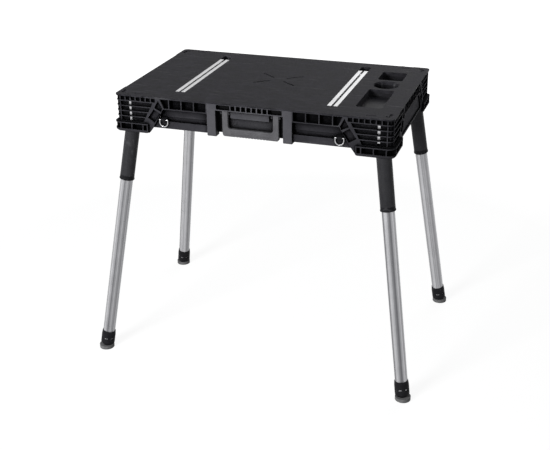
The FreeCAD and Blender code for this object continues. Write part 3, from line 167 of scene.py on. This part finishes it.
CAMERA_PLACE = Vector((0.9199, -2.7545, 1.7123))
CAMERA_AZIMUTH = math.radians(18.717)
CAMERA_ELEVATION = math.radians(24.894)
CAMERA_ROLL = math.radians(-0.588)
SENSOR_WIDTH = 36.0
FOCUS_PIXELS = 983.5
FRAME_PIXELS = 550

lens = bpy.data.cameras.new("camera")
lens.sensor_width = SENSOR_WIDTH
lens.lens = FOCUS_PIXELS * SENSOR_WIDTH / FRAME_PIXELS
camera = add_object("camera", lens)
sight = Vector((
    -math.sin(CAMERA_AZIMUTH) * math.cos(CAMERA_ELEVATION),
    math.cos(CAMERA_AZIMUTH) * math.cos(CAMERA_ELEVATION),
    -math.sin(CAMERA_ELEVATION),
))
aim = sight.to_track_quat("-Z", "Y").to_matrix().to_4x4()
roll = Matrix.Rotation(CAMERA_ROLL, 4, "Z")
camera.matrix_world = Matrix.Translation(CAMERA_PLACE) @ aim @ roll
room.camera = camera

# The case: top, corner blocks, skirts, handle bays and the ribs under the top, all moulded in
# black polypropylene with a fine grain and clipped together. The top is worked on, so it is
# blotched and lightly scratched, and all edges are worn a little paler.

SIDES = ("left", "right")
ENDS = ("front", "back")

CASE_BLACK = (0.03, 0.0295, 0.034, 1)
CASE_GREY = (0.057, 0.056, 0.0638, 1)
TOP_BLACK = (0.014, 0.0136, 0.0163, 1)
TOP_GREY = (0.054, 0.0525, 0.0613, 1)
# Painted light: the handle bays are the case's black plastic, painted lighter for the light that
# their posts catch
BAY_LIT_BLACK = (0.074, 0.073, 0.083, 1)
BAY_LIT_GREY = (0.108, 0.107, 0.118, 1)
EDGE_GREY = (0.15, 0.15, 0.16, 1)
# Painted shade: recesses are darkened towards this near black, by how closed in they are within
# this reach
PAINTED_SHADE_BLACK = (0.003, 0.003, 0.0035, 1)
PAINTED_SHADE_REACH = 0.03
GLOSS = 0.05
CASE_GLOSS = 0.005
TOP_GLOSS = 0.02
CASE_EDGE = 0.0009
CASE_GRAIN_DEPTH = 0.00012


def new_group(name, family, inputs, outputs):
    """Start a node group. An input is its label, its kind and, if it has one, its value."""
    group = bpy.data.node_groups.new(name, family + "NodeTree")
    for label, kind, *value in inputs:
        socket = group.interface.new_socket(
            label, in_out="INPUT", socket_type="NodeSocket" + kind)
        if value:
            socket.default_value = value[0]
    for label, kind in outputs:
        group.interface.new_socket(label, in_out="OUTPUT", socket_type="NodeSocket" + kind)
    return group, group.nodes.new("NodeGroupInput").outputs, group.nodes.new("NodeGroupOutput")


def use_group(tree, group, feeds):
    """Place a shader node group in a tree, feed it, and give its outputs."""
    node = tree.nodes.new("ShaderNodeGroup")
    node.node_tree = group
    return feed(tree, node, feeds).outputs


def noise(tree, where, scale, detail, roughness=0.5):
    """Give a noise texture's value."""
    return place(tree, "TexNoise", {"Vector": where, "Scale": scale, "Detail": detail,
                                    "Roughness": roughness}).outputs[0]


def blend_colours(tree, share, first, second):
    """Blend from the first colour to the second by a share."""
    return place(tree, "Mix", {0: share, 6: first, 7: second}, data_type="RGBA").outputs[2]


def scale(tree, vector, factor):
    """Make a colour lighter or darker, or a vector longer or shorter, by a factor."""
    return place(tree, "VectorMath", {0: vector, "Scale": factor}, operation="SCALE").outputs[0]


def own_place(tree):
    """Give the place of a point on the object as the CAD part has it at rest."""
    return place(tree, "TexCoord").outputs["Object"]


def rounded_normal(tree, radius):
    """Give the surface's normal with its edges rounded."""
    return place(tree, "Bevel", {"Radius": radius}, samples=4).outputs[0]


def raise_grain(tree, height, strength, depth, normal):
    """Turn a height into a bumped normal."""
    return place(tree, "Bump", {"Strength": strength, "Distance": depth, "Height": height,
                                "Normal": normal}).outputs[0]


def end_material(tree, out, colour, rough, normal, fixed):
    """Place the shader; fixed holds the values that are the same all over the surface."""
    shader = place(tree, "BsdfPrincipled", {"Base Color": colour, "Roughness": rough,
                                            "Normal": normal, **fixed})
    feed(tree, out, {"Surface": shader.outputs[0]})


# Moulded grain, for plastics and paint: blotches, a fine stipple and long thin scuffs
grain, have, give = new_group(
    "moulded grain", "Shader",
    [("Place", "Vector"), ("Dark", "Color", CASE_BLACK), ("Light", "Color", CASE_GREY),
     ("Blotch Size", "Float", 9.0), ("Stipple Size", "Float", 900.0), ("Scuffs", "Float", 0.3)],
    [("Color", "Color"), ("Rough", "Float"), ("Height", "Float")],
)
blotch = noise(grain, have["Place"], have["Blotch Size"], detail=7.0, roughness=0.66)
stipple = noise(grain, have["Place"], have["Stipple Size"], detail=2.0)
scuff_place = place(grain, "Mapping", {"Vector": have["Place"], "Rotation": (0, 0, 0.35),
                                       "Scale": (9, 160, 40)}).outputs[0]
scuff = remap(grain, noise(grain, scuff_place, 1.0, detail=5.0), (0.6, 0.74))
scuffs = calculate(grain, "MULTIPLY", scuff, have["Scuffs"])
tone = blend_colours(grain, remap(grain, blotch, (0.34, 0.68)), have["Dark"], have["Light"])
tone = blend_colours(grain, scuffs, tone, EDGE_GREY)
feed(grain, give, {
    "Color": scale(grain, tone, remap(grain, stipple, (0.3, 0.7), (0.82, 1.18))),
    "Rough": remap(grain, blotch, (0.3, 0.7), (0.42, 0.6)),
    "Height": stipple,
})

# Edge wear: a mask that is 1 where the rounded normal leaves the face's own normal, which is
# on sharp edges, broken up by a coarse noise
edge_wear, have, give = new_group(
    "edge wear", "Shader",
    [("Place", "Vector"), ("Round", "Vector"), ("Amount", "Float", 0.6)],
    [("Mask", "Float")],
)
face_normal = place(edge_wear, "NewGeometry").outputs["Normal"]
match = place(edge_wear, "VectorMath", {0: have["Round"], 1: face_normal},
              operation="DOT_PRODUCT").outputs["Value"]
patches = remap(edge_wear, noise(edge_wear, have["Place"], 60.0, detail=4.0), (0.3, 0.62))
worn = calculate(edge_wear, "MULTIPLY", remap(edge_wear, match, (0.985, 0.82)), patches)
feed(edge_wear, give, {"Mask": calculate(edge_wear, "MULTIPLY", worn, have["Amount"])})


def moulding(name, dark, light, blotch=9.0, stipple=900.0, scuffs=0.3, wear=0.5,
             depth=CASE_GRAIN_DEPTH, edge=CASE_EDGE, painted_recess_shade=False, gloss=GLOSS):
    """Make a moulded plastic with grain, scuffs and worn edges, and painted shade in its recesses
    if told.
    """
    material, tree, out = empty_material(name)
    where = own_place(tree)
    soft = rounded_normal(tree, edge)
    skin = use_group(tree, grain, {"Place": where, "Dark": dark, "Light": light,
                                   "Blotch Size": blotch, "Stipple Size": stipple,
                                   "Scuffs": scuffs})
    worn = use_group(tree, edge_wear, {"Place": where, "Round": soft, "Amount": wear})
    colour = blend_colours(tree, worn["Mask"], skin["Color"], EDGE_GREY)
    # Painted shade: where the surface is closed in, its colour is darkened towards black
    if painted_recess_shade:
        recess_occlusion = place(tree, "AmbientOcclusion", {"Distance": PAINTED_SHADE_REACH}, samples=6)
        painted_shade = remap(tree, recess_occlusion.outputs["AO"], (0.95, 0.66))
        colour = blend_colours(tree, painted_shade, colour, PAINTED_SHADE_BLACK)
    end_material(tree, out, colour, skin["Rough"],
                 raise_grain(tree, skin["Height"], 0.6, depth, soft),
                 {"Specular IOR Level": gloss})
    return material


def finish_node(node, material):
    """Give a CAD node its material."""
    slots = frame["nodes"][node].data.materials
    slots.clear()
    slots.append(material)


# The case and the handle bays carry painted shade in their recesses
case_plastic = moulding("case polypropylene", CASE_BLACK, CASE_GREY, painted_recess_shade=True,
                        gloss=CASE_GLOSS)
# Painted light: a lighter copy of the case plastic for the bays, which are moulded in the same
# black
bay_plastic_painted_lighter = moulding("handle bay polypropylene painted lighter", BAY_LIT_BLACK, BAY_LIT_GREY, painted_recess_shade=True)
top_plastic = moulding("table top polypropylene", TOP_BLACK, TOP_GREY, blotch=26.0, scuffs=0.7,
                       wear=0.35, gloss=TOP_GLOSS)
finish_node("top_plate", top_plastic)
finish_node("top_webs", case_plastic)
for end in ENDS:
    finish_node(f"bay_{end}", bay_plastic_painted_lighter)
    for side in SIDES:
        finish_node(f"corner_{end}_{side}", case_plastic)
        finish_node(f"skirt_{end}_{side}", case_plastic)
for side in SIDES:
    finish_node(f"skirt_{side}_end", case_plastic)

# The seam ribs: where a long skirt meets a corner block, a slanted rib of the same moulding
# stands behind the block's wall and closes the room between that wall and the skirt's panel.

SEAM_LOW_END = (0.2941, 0.766)
SEAM_HIGH_END = (0.2663, 0.813)
SEAM_RIB_WIDTH = 0.005
SEAM_RIB_FRONT = 0.2521
SEAM_RIB_BACK = 0.2468
SEAM_RIB_ROUND = 0.0004


def slanted_ribs():
    """Make the four ribs, one at each end of the two long skirts, as one mesh."""
    shape = bmesh.new()
    for side_x in (-1, 1):
        for side_y in (-1, 1):
            low, high = [
                [shape.verts.new((side_x * at_x, side_y * at_y, z))
                 for at_x, at_y in ((x, SEAM_RIB_FRONT), (x + SEAM_RIB_WIDTH, SEAM_RIB_FRONT),
                                    (x + SEAM_RIB_WIDTH, SEAM_RIB_BACK), (x, SEAM_RIB_BACK))]
                for x, z in (SEAM_LOW_END, SEAM_HIGH_END)]
            shape.faces.new(low)
            shape.faces.new(high)
            for i in range(4):
                j = (i + 1) % 4
                shape.faces.new((low[i], low[j], high[j], high[i]))
    bmesh.ops.recalc_face_normals(shape, faces=shape.faces)
    bmesh.ops.bevel(shape, geom=shape.edges[:], offset=SEAM_RIB_ROUND, segments=2,
                    affect="EDGES")
    mesh = bpy.data.meshes.new("seam_ribs")
    shape.to_mesh(mesh)
    shape.free()
    return mesh


seam_ribs = add_object("seam_ribs", slanted_ribs())
seam_ribs.data.materials.append(case_plastic)
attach(seam_ribs, "case")

# The parts trays and the cup holder: bins of the same black plastic, moulded in one piece
# each, set into the top from below and a little smoother inside.

TRAY_BLACK = (0.014, 0.0138, 0.0165, 1)
TRAY_GREY = (0.025, 0.0245, 0.029, 1)
TRAY_GLOSS = 0.08
FINE_GRAIN_DEPTH = 0.00006

tray_plastic = moulding("tray polypropylene", TRAY_BLACK, TRAY_GREY, stipple=500.0,
                        scuffs=0.25, wear=0.3, depth=FINE_GRAIN_DEPTH, gloss=TRAY_GLOSS)
for node in ("tray_front", "tray_rear", "cup_holder"):
    finish_node(node, tray_plastic)

# The beds of the rails: troughs of the same plastic as the top, one under each rail. Their
# floors show in the entry holes, where a clamp is let into its rail.

for side in SIDES:
    finish_node(f"rail_bed_{side}", top_plastic)

# The clamp rails: extruded aluminium, clear anodised, with fine drawing lines along their
# length. They lie in their beds, held by screws through the floor.

RAIL_ALUMINIUM = (0.57, 0.57, 0.578)
RAIL_ROUGH = 0.36
LINE_SIZE = 700.0
LINE_STRETCH = (1, 0.01, 1)
LINE_DEPTH = 0.00004
METAL_EDGE = 0.0004

# Metal clouds, for all bare metals: soft patches that differ a little in shade and gloss
metal_clouds, have, give = new_group(
    "metal clouds", "Shader",
    [("Place", "Vector"), ("Size", "Float", 24.0), ("Detail", "Float", 5.0),
     ("Rough Low", "Float", 0.3), ("Rough High", "Float", 0.4)],
    [("Cloud", "Float"), ("Shade", "Float"), ("Rough", "Float")],
)
cloud = noise(metal_clouds, have["Place"], have["Size"], detail=have["Detail"])
feed(metal_clouds, give, {
    "Cloud": cloud,
    "Shade": remap(metal_clouds, cloud, (0.3, 0.7), (0.93, 1.05)),
    "Rough": remap(metal_clouds, cloud, (0.3, 0.7), (have["Rough Low"], have["Rough High"])),
})


def satin(tree, where, rough):
    """Place the clouds of a satin aluminium."""
    return use_group(tree, metal_clouds, {"Place": where, "Size": 24.0, "Detail": 5.0,
                                          "Rough Low": rough - 0.05, "Rough High": rough + 0.08})


def drawn_rail(name, colour, rough):
    """Make an extruded aluminium with fine lines along Y."""
    material, tree, out = empty_material(name)
    where = own_place(tree)
    stretched = place(tree, "Mapping", {"Vector": where, "Scale": LINE_STRETCH}).outputs[0]
    line = noise(tree, stretched, LINE_SIZE, detail=3.0)
    clouds = satin(tree, where, rough)
    shade = calculate(tree, "MULTIPLY", remap(tree, line, (0.25, 0.75), (0.88, 1.08)),
                      clouds["Shade"])
    end_material(tree, out, scale(tree, colour, shade), clouds["Rough"],
                 raise_grain(tree, line, 0.3, LINE_DEPTH, rounded_normal(tree, METAL_EDGE)),
                 {"Metallic": 1.0})
    return material


rail_metal = drawn_rail("rail aluminium", RAIL_ALUMINIUM, RAIL_ROUGH)
for side in SIDES:
    finish_node(f"rail_{side}", rail_metal)

# The screws that hold the rails: zinc plated pan heads with a cross recess, one row along the
# floor of each rail and one under each bed, every head turned as its driver left it.

SCREWS_PER_RAIL = 5
SCREW_PITCH = 0.08
RAIL_FLOOR_THICK = 0.002
HEAD_SIDES = 32
HEAD_RADIUS = 0.0032
HEAD_HEIGHT = 0.0014
# The head's outline from its rim to its crown, as shares of its radius and its height
HEAD_OUTLINE_SHARES = ((1.0, 0.0), (1.0, 0.35), (0.93, 0.62), (0.72, 0.88), (0.5, 1.0))
RECESS_DEPTH = 0.0009
ARM_REACH_SHARE = 0.46
ARM_DEPTH_SHARE = 0.2
WEB_REACH_SHARE = 0.2
ARM_SPREAD = 0.6
ZINC_BRIGHT = (0.55, 0.55, 0.56, 1)
ZINC_DARK = (0.3, 0.3, 0.32, 1)
ZINC_ROUGH = 0.36
PLATE_GRAIN_DEPTH = 0.00005


def plated(name, bright, dark, rough, spangle=90.0):
    """Make a plated steel with the faint patches of its bath."""
    material, tree, out = empty_material(name)
    where = own_place(tree)
    patch = place(tree, "TexVoronoi", {"Vector": where, "Scale": spangle}).outputs["Distance"]
    clouds = use_group(tree, metal_clouds, {"Place": where, "Size": 40.0, "Detail": 6.0,
                                            "Rough Low": rough - 0.06, "Rough High": rough + 0.1})
    share = calculate(tree, "MULTIPLY", patch, clouds["Cloud"])
    end_material(tree, out, blend_colours(tree, share, bright, dark), clouds["Rough"],
                 raise_grain(tree, clouds["Cloud"], 0.3, PLATE_GRAIN_DEPTH,
                             rounded_normal(tree, METAL_EDGE)),
                 {"Metallic": 1.0})
    return material


def screw_head():
    """Turn a domed head about Z, resting on Z = 0, and press a cross into it."""
    shape = bmesh.new()
    turns = [2 * math.pi * i / HEAD_SIDES for i in range(HEAD_SIDES)]

    def point(turn, reach, height):
        """Add a point at an angle about Z."""
        return shape.verts.new((reach * math.cos(turn), reach * math.sin(turn), height))

    rings = [[point(turn, HEAD_RADIUS * reach, HEAD_HEIGHT * rise) for turn in turns]
             for reach, rise in HEAD_OUTLINE_SHARES]
    # The rim of the recess: its four arms reach further out and start lower than the rest
    rim = []
    for turn in turns:
        if abs(math.sin(2 * turn)) < ARM_SPREAD:
            arm_top = HEAD_HEIGHT - RECESS_DEPTH * ARM_DEPTH_SHARE
            rim.append(point(turn, HEAD_RADIUS * ARM_REACH_SHARE, arm_top))
        else:
            rim.append(point(turn, HEAD_RADIUS * WEB_REACH_SHARE, HEAD_HEIGHT))
    rings.append(rim)
    bottom = shape.verts.new((0, 0, HEAD_HEIGHT - RECESS_DEPTH))
    for i in range(HEAD_SIDES):
        j = (i + 1) % HEAD_SIDES
        for lower, upper in zip(rings, rings[1:]):
            shape.faces.new((lower[i], lower[j], upper[j], upper[i]))
        shape.faces.new((rim[i], rim[j], bottom))
    mesh = bpy.data.meshes.new("screw head")
    shape.to_mesh(mesh)
    shape.free()
    return mesh


def grid_of_copies():
    """Build the tree that repeats a mesh on a flat grid, each copy turned by its own angle."""
    tree, have, give = new_group(
        "grid of copies", "Geometry",
        [("Geometry", "Geometry"), ("Columns", "Int"), ("Rows", "Int"), ("Width", "Float"),
         ("Length", "Float"), ("Middle", "Vector"), ("Tilt", "Vector"), ("Turn", "Float"),
         ("Seed", "Int"), ("Material", "Material")],
        [("Geometry", "Geometry")])

    def add(kind, feeds, result):
        """Add a node, feed it, and give one of its outputs."""
        return feed(tree, tree.nodes.new(kind), feeds).outputs[result]

    grid = add("GeometryNodeMeshGrid", {
        "Size X": have["Width"], "Size Y": have["Length"],
        "Vertices X": have["Columns"], "Vertices Y": have["Rows"]}, "Mesh")
    moved = add("GeometryNodeTransform", {
        "Geometry": grid, "Translation": have["Middle"]}, "Geometry")
    angle = add("FunctionNodeRandomValue", {
        "Max": have["Turn"], "Seed": have["Seed"]}, "Value")
    spun = add("ShaderNodeCombineXYZ", {"Z": angle}, "Vector")
    stamped = add("GeometryNodeInstanceOnPoints", {
        "Points": moved, "Instance": have["Geometry"], "Rotation": have["Tilt"]}, "Instances")
    turned = add("GeometryNodeRotateInstances", {
        "Instances": stamped, "Rotation": spun}, "Instances")
    solid = add("GeometryNodeRealizeInstances", {"Geometry": turned}, "Geometry")
    painted = add("GeometryNodeSetMaterial", {
        "Geometry": solid, "Material": have["Material"]}, "Geometry")
    feed(tree, give, {"Geometry": painted})
    return tree


def stamp(name, mesh, tree, values, body):
    """Run a tree of copies over a mesh, keep the plain mesh it gives, and let it ride."""
    seed = add_object(name + "_seed", mesh)
    modifier = seed.modifiers.new("copies", "NODES")
    modifier.node_group = tree
    for item in tree.interface.items_tree:
        if item.in_out == "INPUT" and item.name in values:
            modifier[item.identifier] = values[item.name]
    bpy.context.view_layer.update()
    finished = seed.evaluated_get(bpy.context.evaluated_depsgraph_get())
    made = bpy.data.meshes.new_from_object(finished)
    bpy.data.objects.remove(seed)
    made.name = name
    for face in made.polygons:
        face.use_smooth = True
    piece = add_object(name, made)
    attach(piece, body)


def middle_of(node):
    """Give the middle of a CAD node's box."""
    low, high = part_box(node)
    return (Vector(low) + Vector(high)) / 2


zinc = plated("zinc plate", ZINC_BRIGHT, ZINC_DARK, ZINC_ROUGH)
grid_tree = grid_of_copies()
left_rail, right_rail = (middle_of(f"rail_{side}") for side in SIDES)
between = (left_rail + right_rail) / 2
rail_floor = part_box("rail_left")[0][2] + RAIL_FLOOR_THICK
bed_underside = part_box("rail_bed_left")[0][2]
screw_rows = {
    "Columns": len(SIDES), "Rows": SCREWS_PER_RAIL,
    "Width": right_rail.x - left_rail.x, "Length": SCREW_PITCH * (SCREWS_PER_RAIL - 1),
    "Turn": math.pi, "Material": zinc,
}
head = screw_head()
stamp("rail_screws", head, grid_tree, {
    **screw_rows, "Middle": (between.x, between.y, rail_floor),
    "Tilt": (0, 0, 0), "Seed": 3}, "case")
stamp("bed_screws", head, grid_tree, {
    **screw_rows, "Middle": (between.x, between.y, bed_underside),
    "Tilt": (math.pi, 0, 0), "Seed": 8}, "case")

# The carrying handle: a dark grey moulding, smoother than the case, on two steel pins. Fine
# upright ribs on the front of its bar keep the fingers from slipping.

HANDLE_DARK = (0.105, 0.104, 0.112, 1)
HANDLE_GREY = (0.15, 0.149, 0.158, 1)
HANDLE_EDGE = 0.0012
GRIP_RIBS = 33
GRIP_PITCH = 0.0036
GRIP_RIB_MIDDLE = 0.012
GRIP_RIB_WIDTH = 0.0015
GRIP_RIB_THICK = 0.0005
GRIP_RIB_HEIGHT = 0.013
GRIP_RIB_STEPS = 6


def grip_rib():
    """Make a small upright rib with a round front, its back on Y = 0, its middle at Z = 0."""
    shape = bmesh.new()
    low, high = [
        [shape.verts.new((GRIP_RIB_WIDTH / 2 * math.cos(turn), -GRIP_RIB_THICK * math.sin(turn), z))
         for turn in (math.pi * i / GRIP_RIB_STEPS for i in range(GRIP_RIB_STEPS + 1))]
        for z in (-GRIP_RIB_HEIGHT / 2, GRIP_RIB_HEIGHT / 2)]
    for i in range(GRIP_RIB_STEPS):
        shape.faces.new((low[i + 1], low[i], high[i], high[i + 1]))
    shape.faces.new(low)
    shape.faces.new(high[::-1])
    mesh = bpy.data.meshes.new("grip rib")
    shape.to_mesh(mesh)
    shape.free()
    return mesh


handle_plastic = moulding("handle plastic", HANDLE_DARK, HANDLE_GREY, blotch=20.0,
                          stipple=700.0, scuffs=0.4, depth=FINE_GRAIN_DEPTH, edge=HANDLE_EDGE)
finish_node("handle", handle_plastic)
handle_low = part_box("handle")[0]
stamp("handle_grip_ribs", grip_rib(), grid_tree, {
    "Columns": GRIP_RIBS, "Rows": 1, "Width": GRIP_PITCH * (GRIP_RIBS - 1), "Length": 0.0,
    "Middle": (0, handle_low[1], handle_low[2] + GRIP_RIB_MIDDLE),
    "Tilt": (0, 0, 0), "Turn": 0.0, "Seed": 1, "Material": handle_plastic},
    "handle")

# The hinge brackets, bent from zinc plated sheet and seen through windows in the corner
# slots, with the fold pins that pass through them, and the handle's two pins.

LEGS = [f"{side}_{end}" for side in SIDES for end in ENDS]

for leg in LEGS:
    finish_node(f"bracket_{leg}", zinc)
for node in ("hinge_pins_left", "hinge_pins_right", "handle_pins"):
    finish_node(node, zinc)

# The tie rings: bright plated steel wire, bent round and hung in black plastic clips on the
# lip of the front skirts.

RING_BRIGHT = (0.5, 0.5, 0.51, 1)
RING_DARK = (0.3, 0.3, 0.31, 1)
RING_ROUGH = 0.25
FITTING_BLACK = (0.0105, 0.0104, 0.012, 1)
FITTING_GREY = (0.021, 0.0208, 0.0235, 1)
FITTING_EDGE = 0.0006

ring_steel = plated("ring steel", RING_BRIGHT, RING_DARK, RING_ROUGH, spangle=300.0)
fitting_plastic = moulding("fitting plastic", FITTING_BLACK, FITTING_GREY, blotch=30.0,
                           stipple=1200.0, wear=0.4, depth=FINE_GRAIN_DEPTH, edge=FITTING_EDGE)
for side in SIDES:
    finish_node(f"ring_{side}", ring_steel)
    finish_node(f"ring_clip_{side}", fitting_plastic)

# The legs' upper parts: a black moulded knuckle that turns on the fold pin, a powder coated
# sleeve of steel pipe, and a plastic collar pressed over the sleeve's mouth.

SLEEVE_BLACK = (0.025, 0.025, 0.028, 1)
SLEEVE_GREY = (0.042, 0.042, 0.046, 1)
SLEEVE_EDGE = 0.0005
ORANGE_PEEL_DEPTH = 0.00008


def powder_coat(name, dark, light):
    """Make a powder coat with its fine orange peel."""
    material, tree, out = empty_material(name)
    skin = use_group(tree, grain, {"Place": own_place(tree), "Dark": dark, "Light": light,
                                   "Blotch Size": 16.0, "Stipple Size": 420.0, "Scuffs": 0.35})
    peel = raise_grain(tree, skin["Height"], 0.5, ORANGE_PEEL_DEPTH,
                       rounded_normal(tree, SLEEVE_EDGE))
    end_material(tree, out, skin["Color"], skin["Rough"], peel,
                 {"Specular IOR Level": GLOSS, "Coat Weight": 0.1, "Coat Roughness": 0.3})
    return material


sleeve_paint = powder_coat("sleeve powder coat", SLEEVE_BLACK, SLEEVE_GREY)
for leg in LEGS:
    finish_node(f"knuckle_{leg}", fitting_plastic)
    finish_node(f"sleeve_{leg}", sleeve_paint)
    finish_node(f"collar_{leg}", fitting_plastic)

# The inner tubes: satin aluminium. Each slides in its sleeve. Their colour carries painted
# reflections: light and dark streaks down their length, from noise over the way that the
# tube's wall faces, which is the same all along a straight tube.

# Painted reflections: the dark and the bright of the streaks painted on the tubes
TUBE_REFLECTION_DARK = (0.15, 0.15, 0.16, 1)
TUBE_REFLECTION_BRIGHT = (0.64, 0.64, 0.66, 1)
TUBE_ROUGH = 0.3
TUBE_METALLIC = 0.5
REFLECTION_STREAK_SIZE = 1.9
REFLECTION_STREAK_PLACE = (7.3, 2.9, 5.0)

# Painted reflections for the tubes: a mask of light and dark streaks over the way the wall faces
tube_painted_reflections, have, give = new_group(
    "tube painted reflections", "Shader",
    [("Place", "Vector"), ("Middle", "Vector"), ("Along", "Vector")],
    [("Mask", "Float")],
)
apart = calculate_vector(tube_painted_reflections, "SUBTRACT", have["Place"], have["Middle"])
run = place(tube_painted_reflections, "VectorMath", {0: apart, 1: have["Along"]},
            operation="DOT_PRODUCT").outputs["Value"]
on_axis = scale(tube_painted_reflections, have["Along"], run)
outward = calculate_vector(tube_painted_reflections, "SUBTRACT", apart, on_axis)
facing = place(tube_painted_reflections, "VectorMath", {0: outward}, operation="NORMALIZE").outputs[0]
around = place(tube_painted_reflections, "Mapping", {"Vector": facing, "Location": REFLECTION_STREAK_PLACE}).outputs[0]
reflection_streak = noise(tube_painted_reflections, around, REFLECTION_STREAK_SIZE, detail=8.0, roughness=0.55)
feed(tube_painted_reflections, give, {"Mask": remap(tube_painted_reflections, reflection_streak, (0.36, 0.64))})


def tube_metal_with_painted_reflections(name, middle, along):
    """Make the metal of one tube, with its painted reflections, given a point of its axis and its
    direction.
    """
    material, tree, out = empty_material(name)
    where = own_place(tree)
    painted_reflections = use_group(tree, tube_painted_reflections, {"Place": where, "Middle": middle, "Along": along})
    clouds = satin(tree, where, TUBE_ROUGH)
    tone = blend_colours(tree, painted_reflections["Mask"], TUBE_REFLECTION_DARK, TUBE_REFLECTION_BRIGHT)
    end_material(tree, out, scale(tree, tone, clouds["Shade"]), clouds["Rough"],
                 rounded_normal(tree, METAL_EDGE), {"Metallic": TUBE_METALLIC})
    return material


slides = {joint["name"]: joint["axis"] for joint in frame["record"]["behaviour"]["joints"]}
for leg in LEGS:
    tube = f"tube_{leg}"
    finish_node(tube, tube_metal_with_painted_reflections(f"{tube} aluminium", middle_of(tube), slides[f"extend_{leg}"]))

# The feet: a black cap with small windows round its waist, pushed over the tube, and a grey
# rubber shoe under it that stands level on the floor.

SHOE_DARK = (0.16, 0.16, 0.162, 1)
SHOE_GREY = (0.24, 0.24, 0.243, 1)

shoe_rubber = moulding("shoe rubber", SHOE_DARK, SHOE_GREY, blotch=60.0, scuffs=0.6, wear=0.4)
for leg in LEGS:
    finish_node(f"cap_{leg}", fitting_plastic)
    finish_node(f"shoe_{leg}", shoe_rubber)
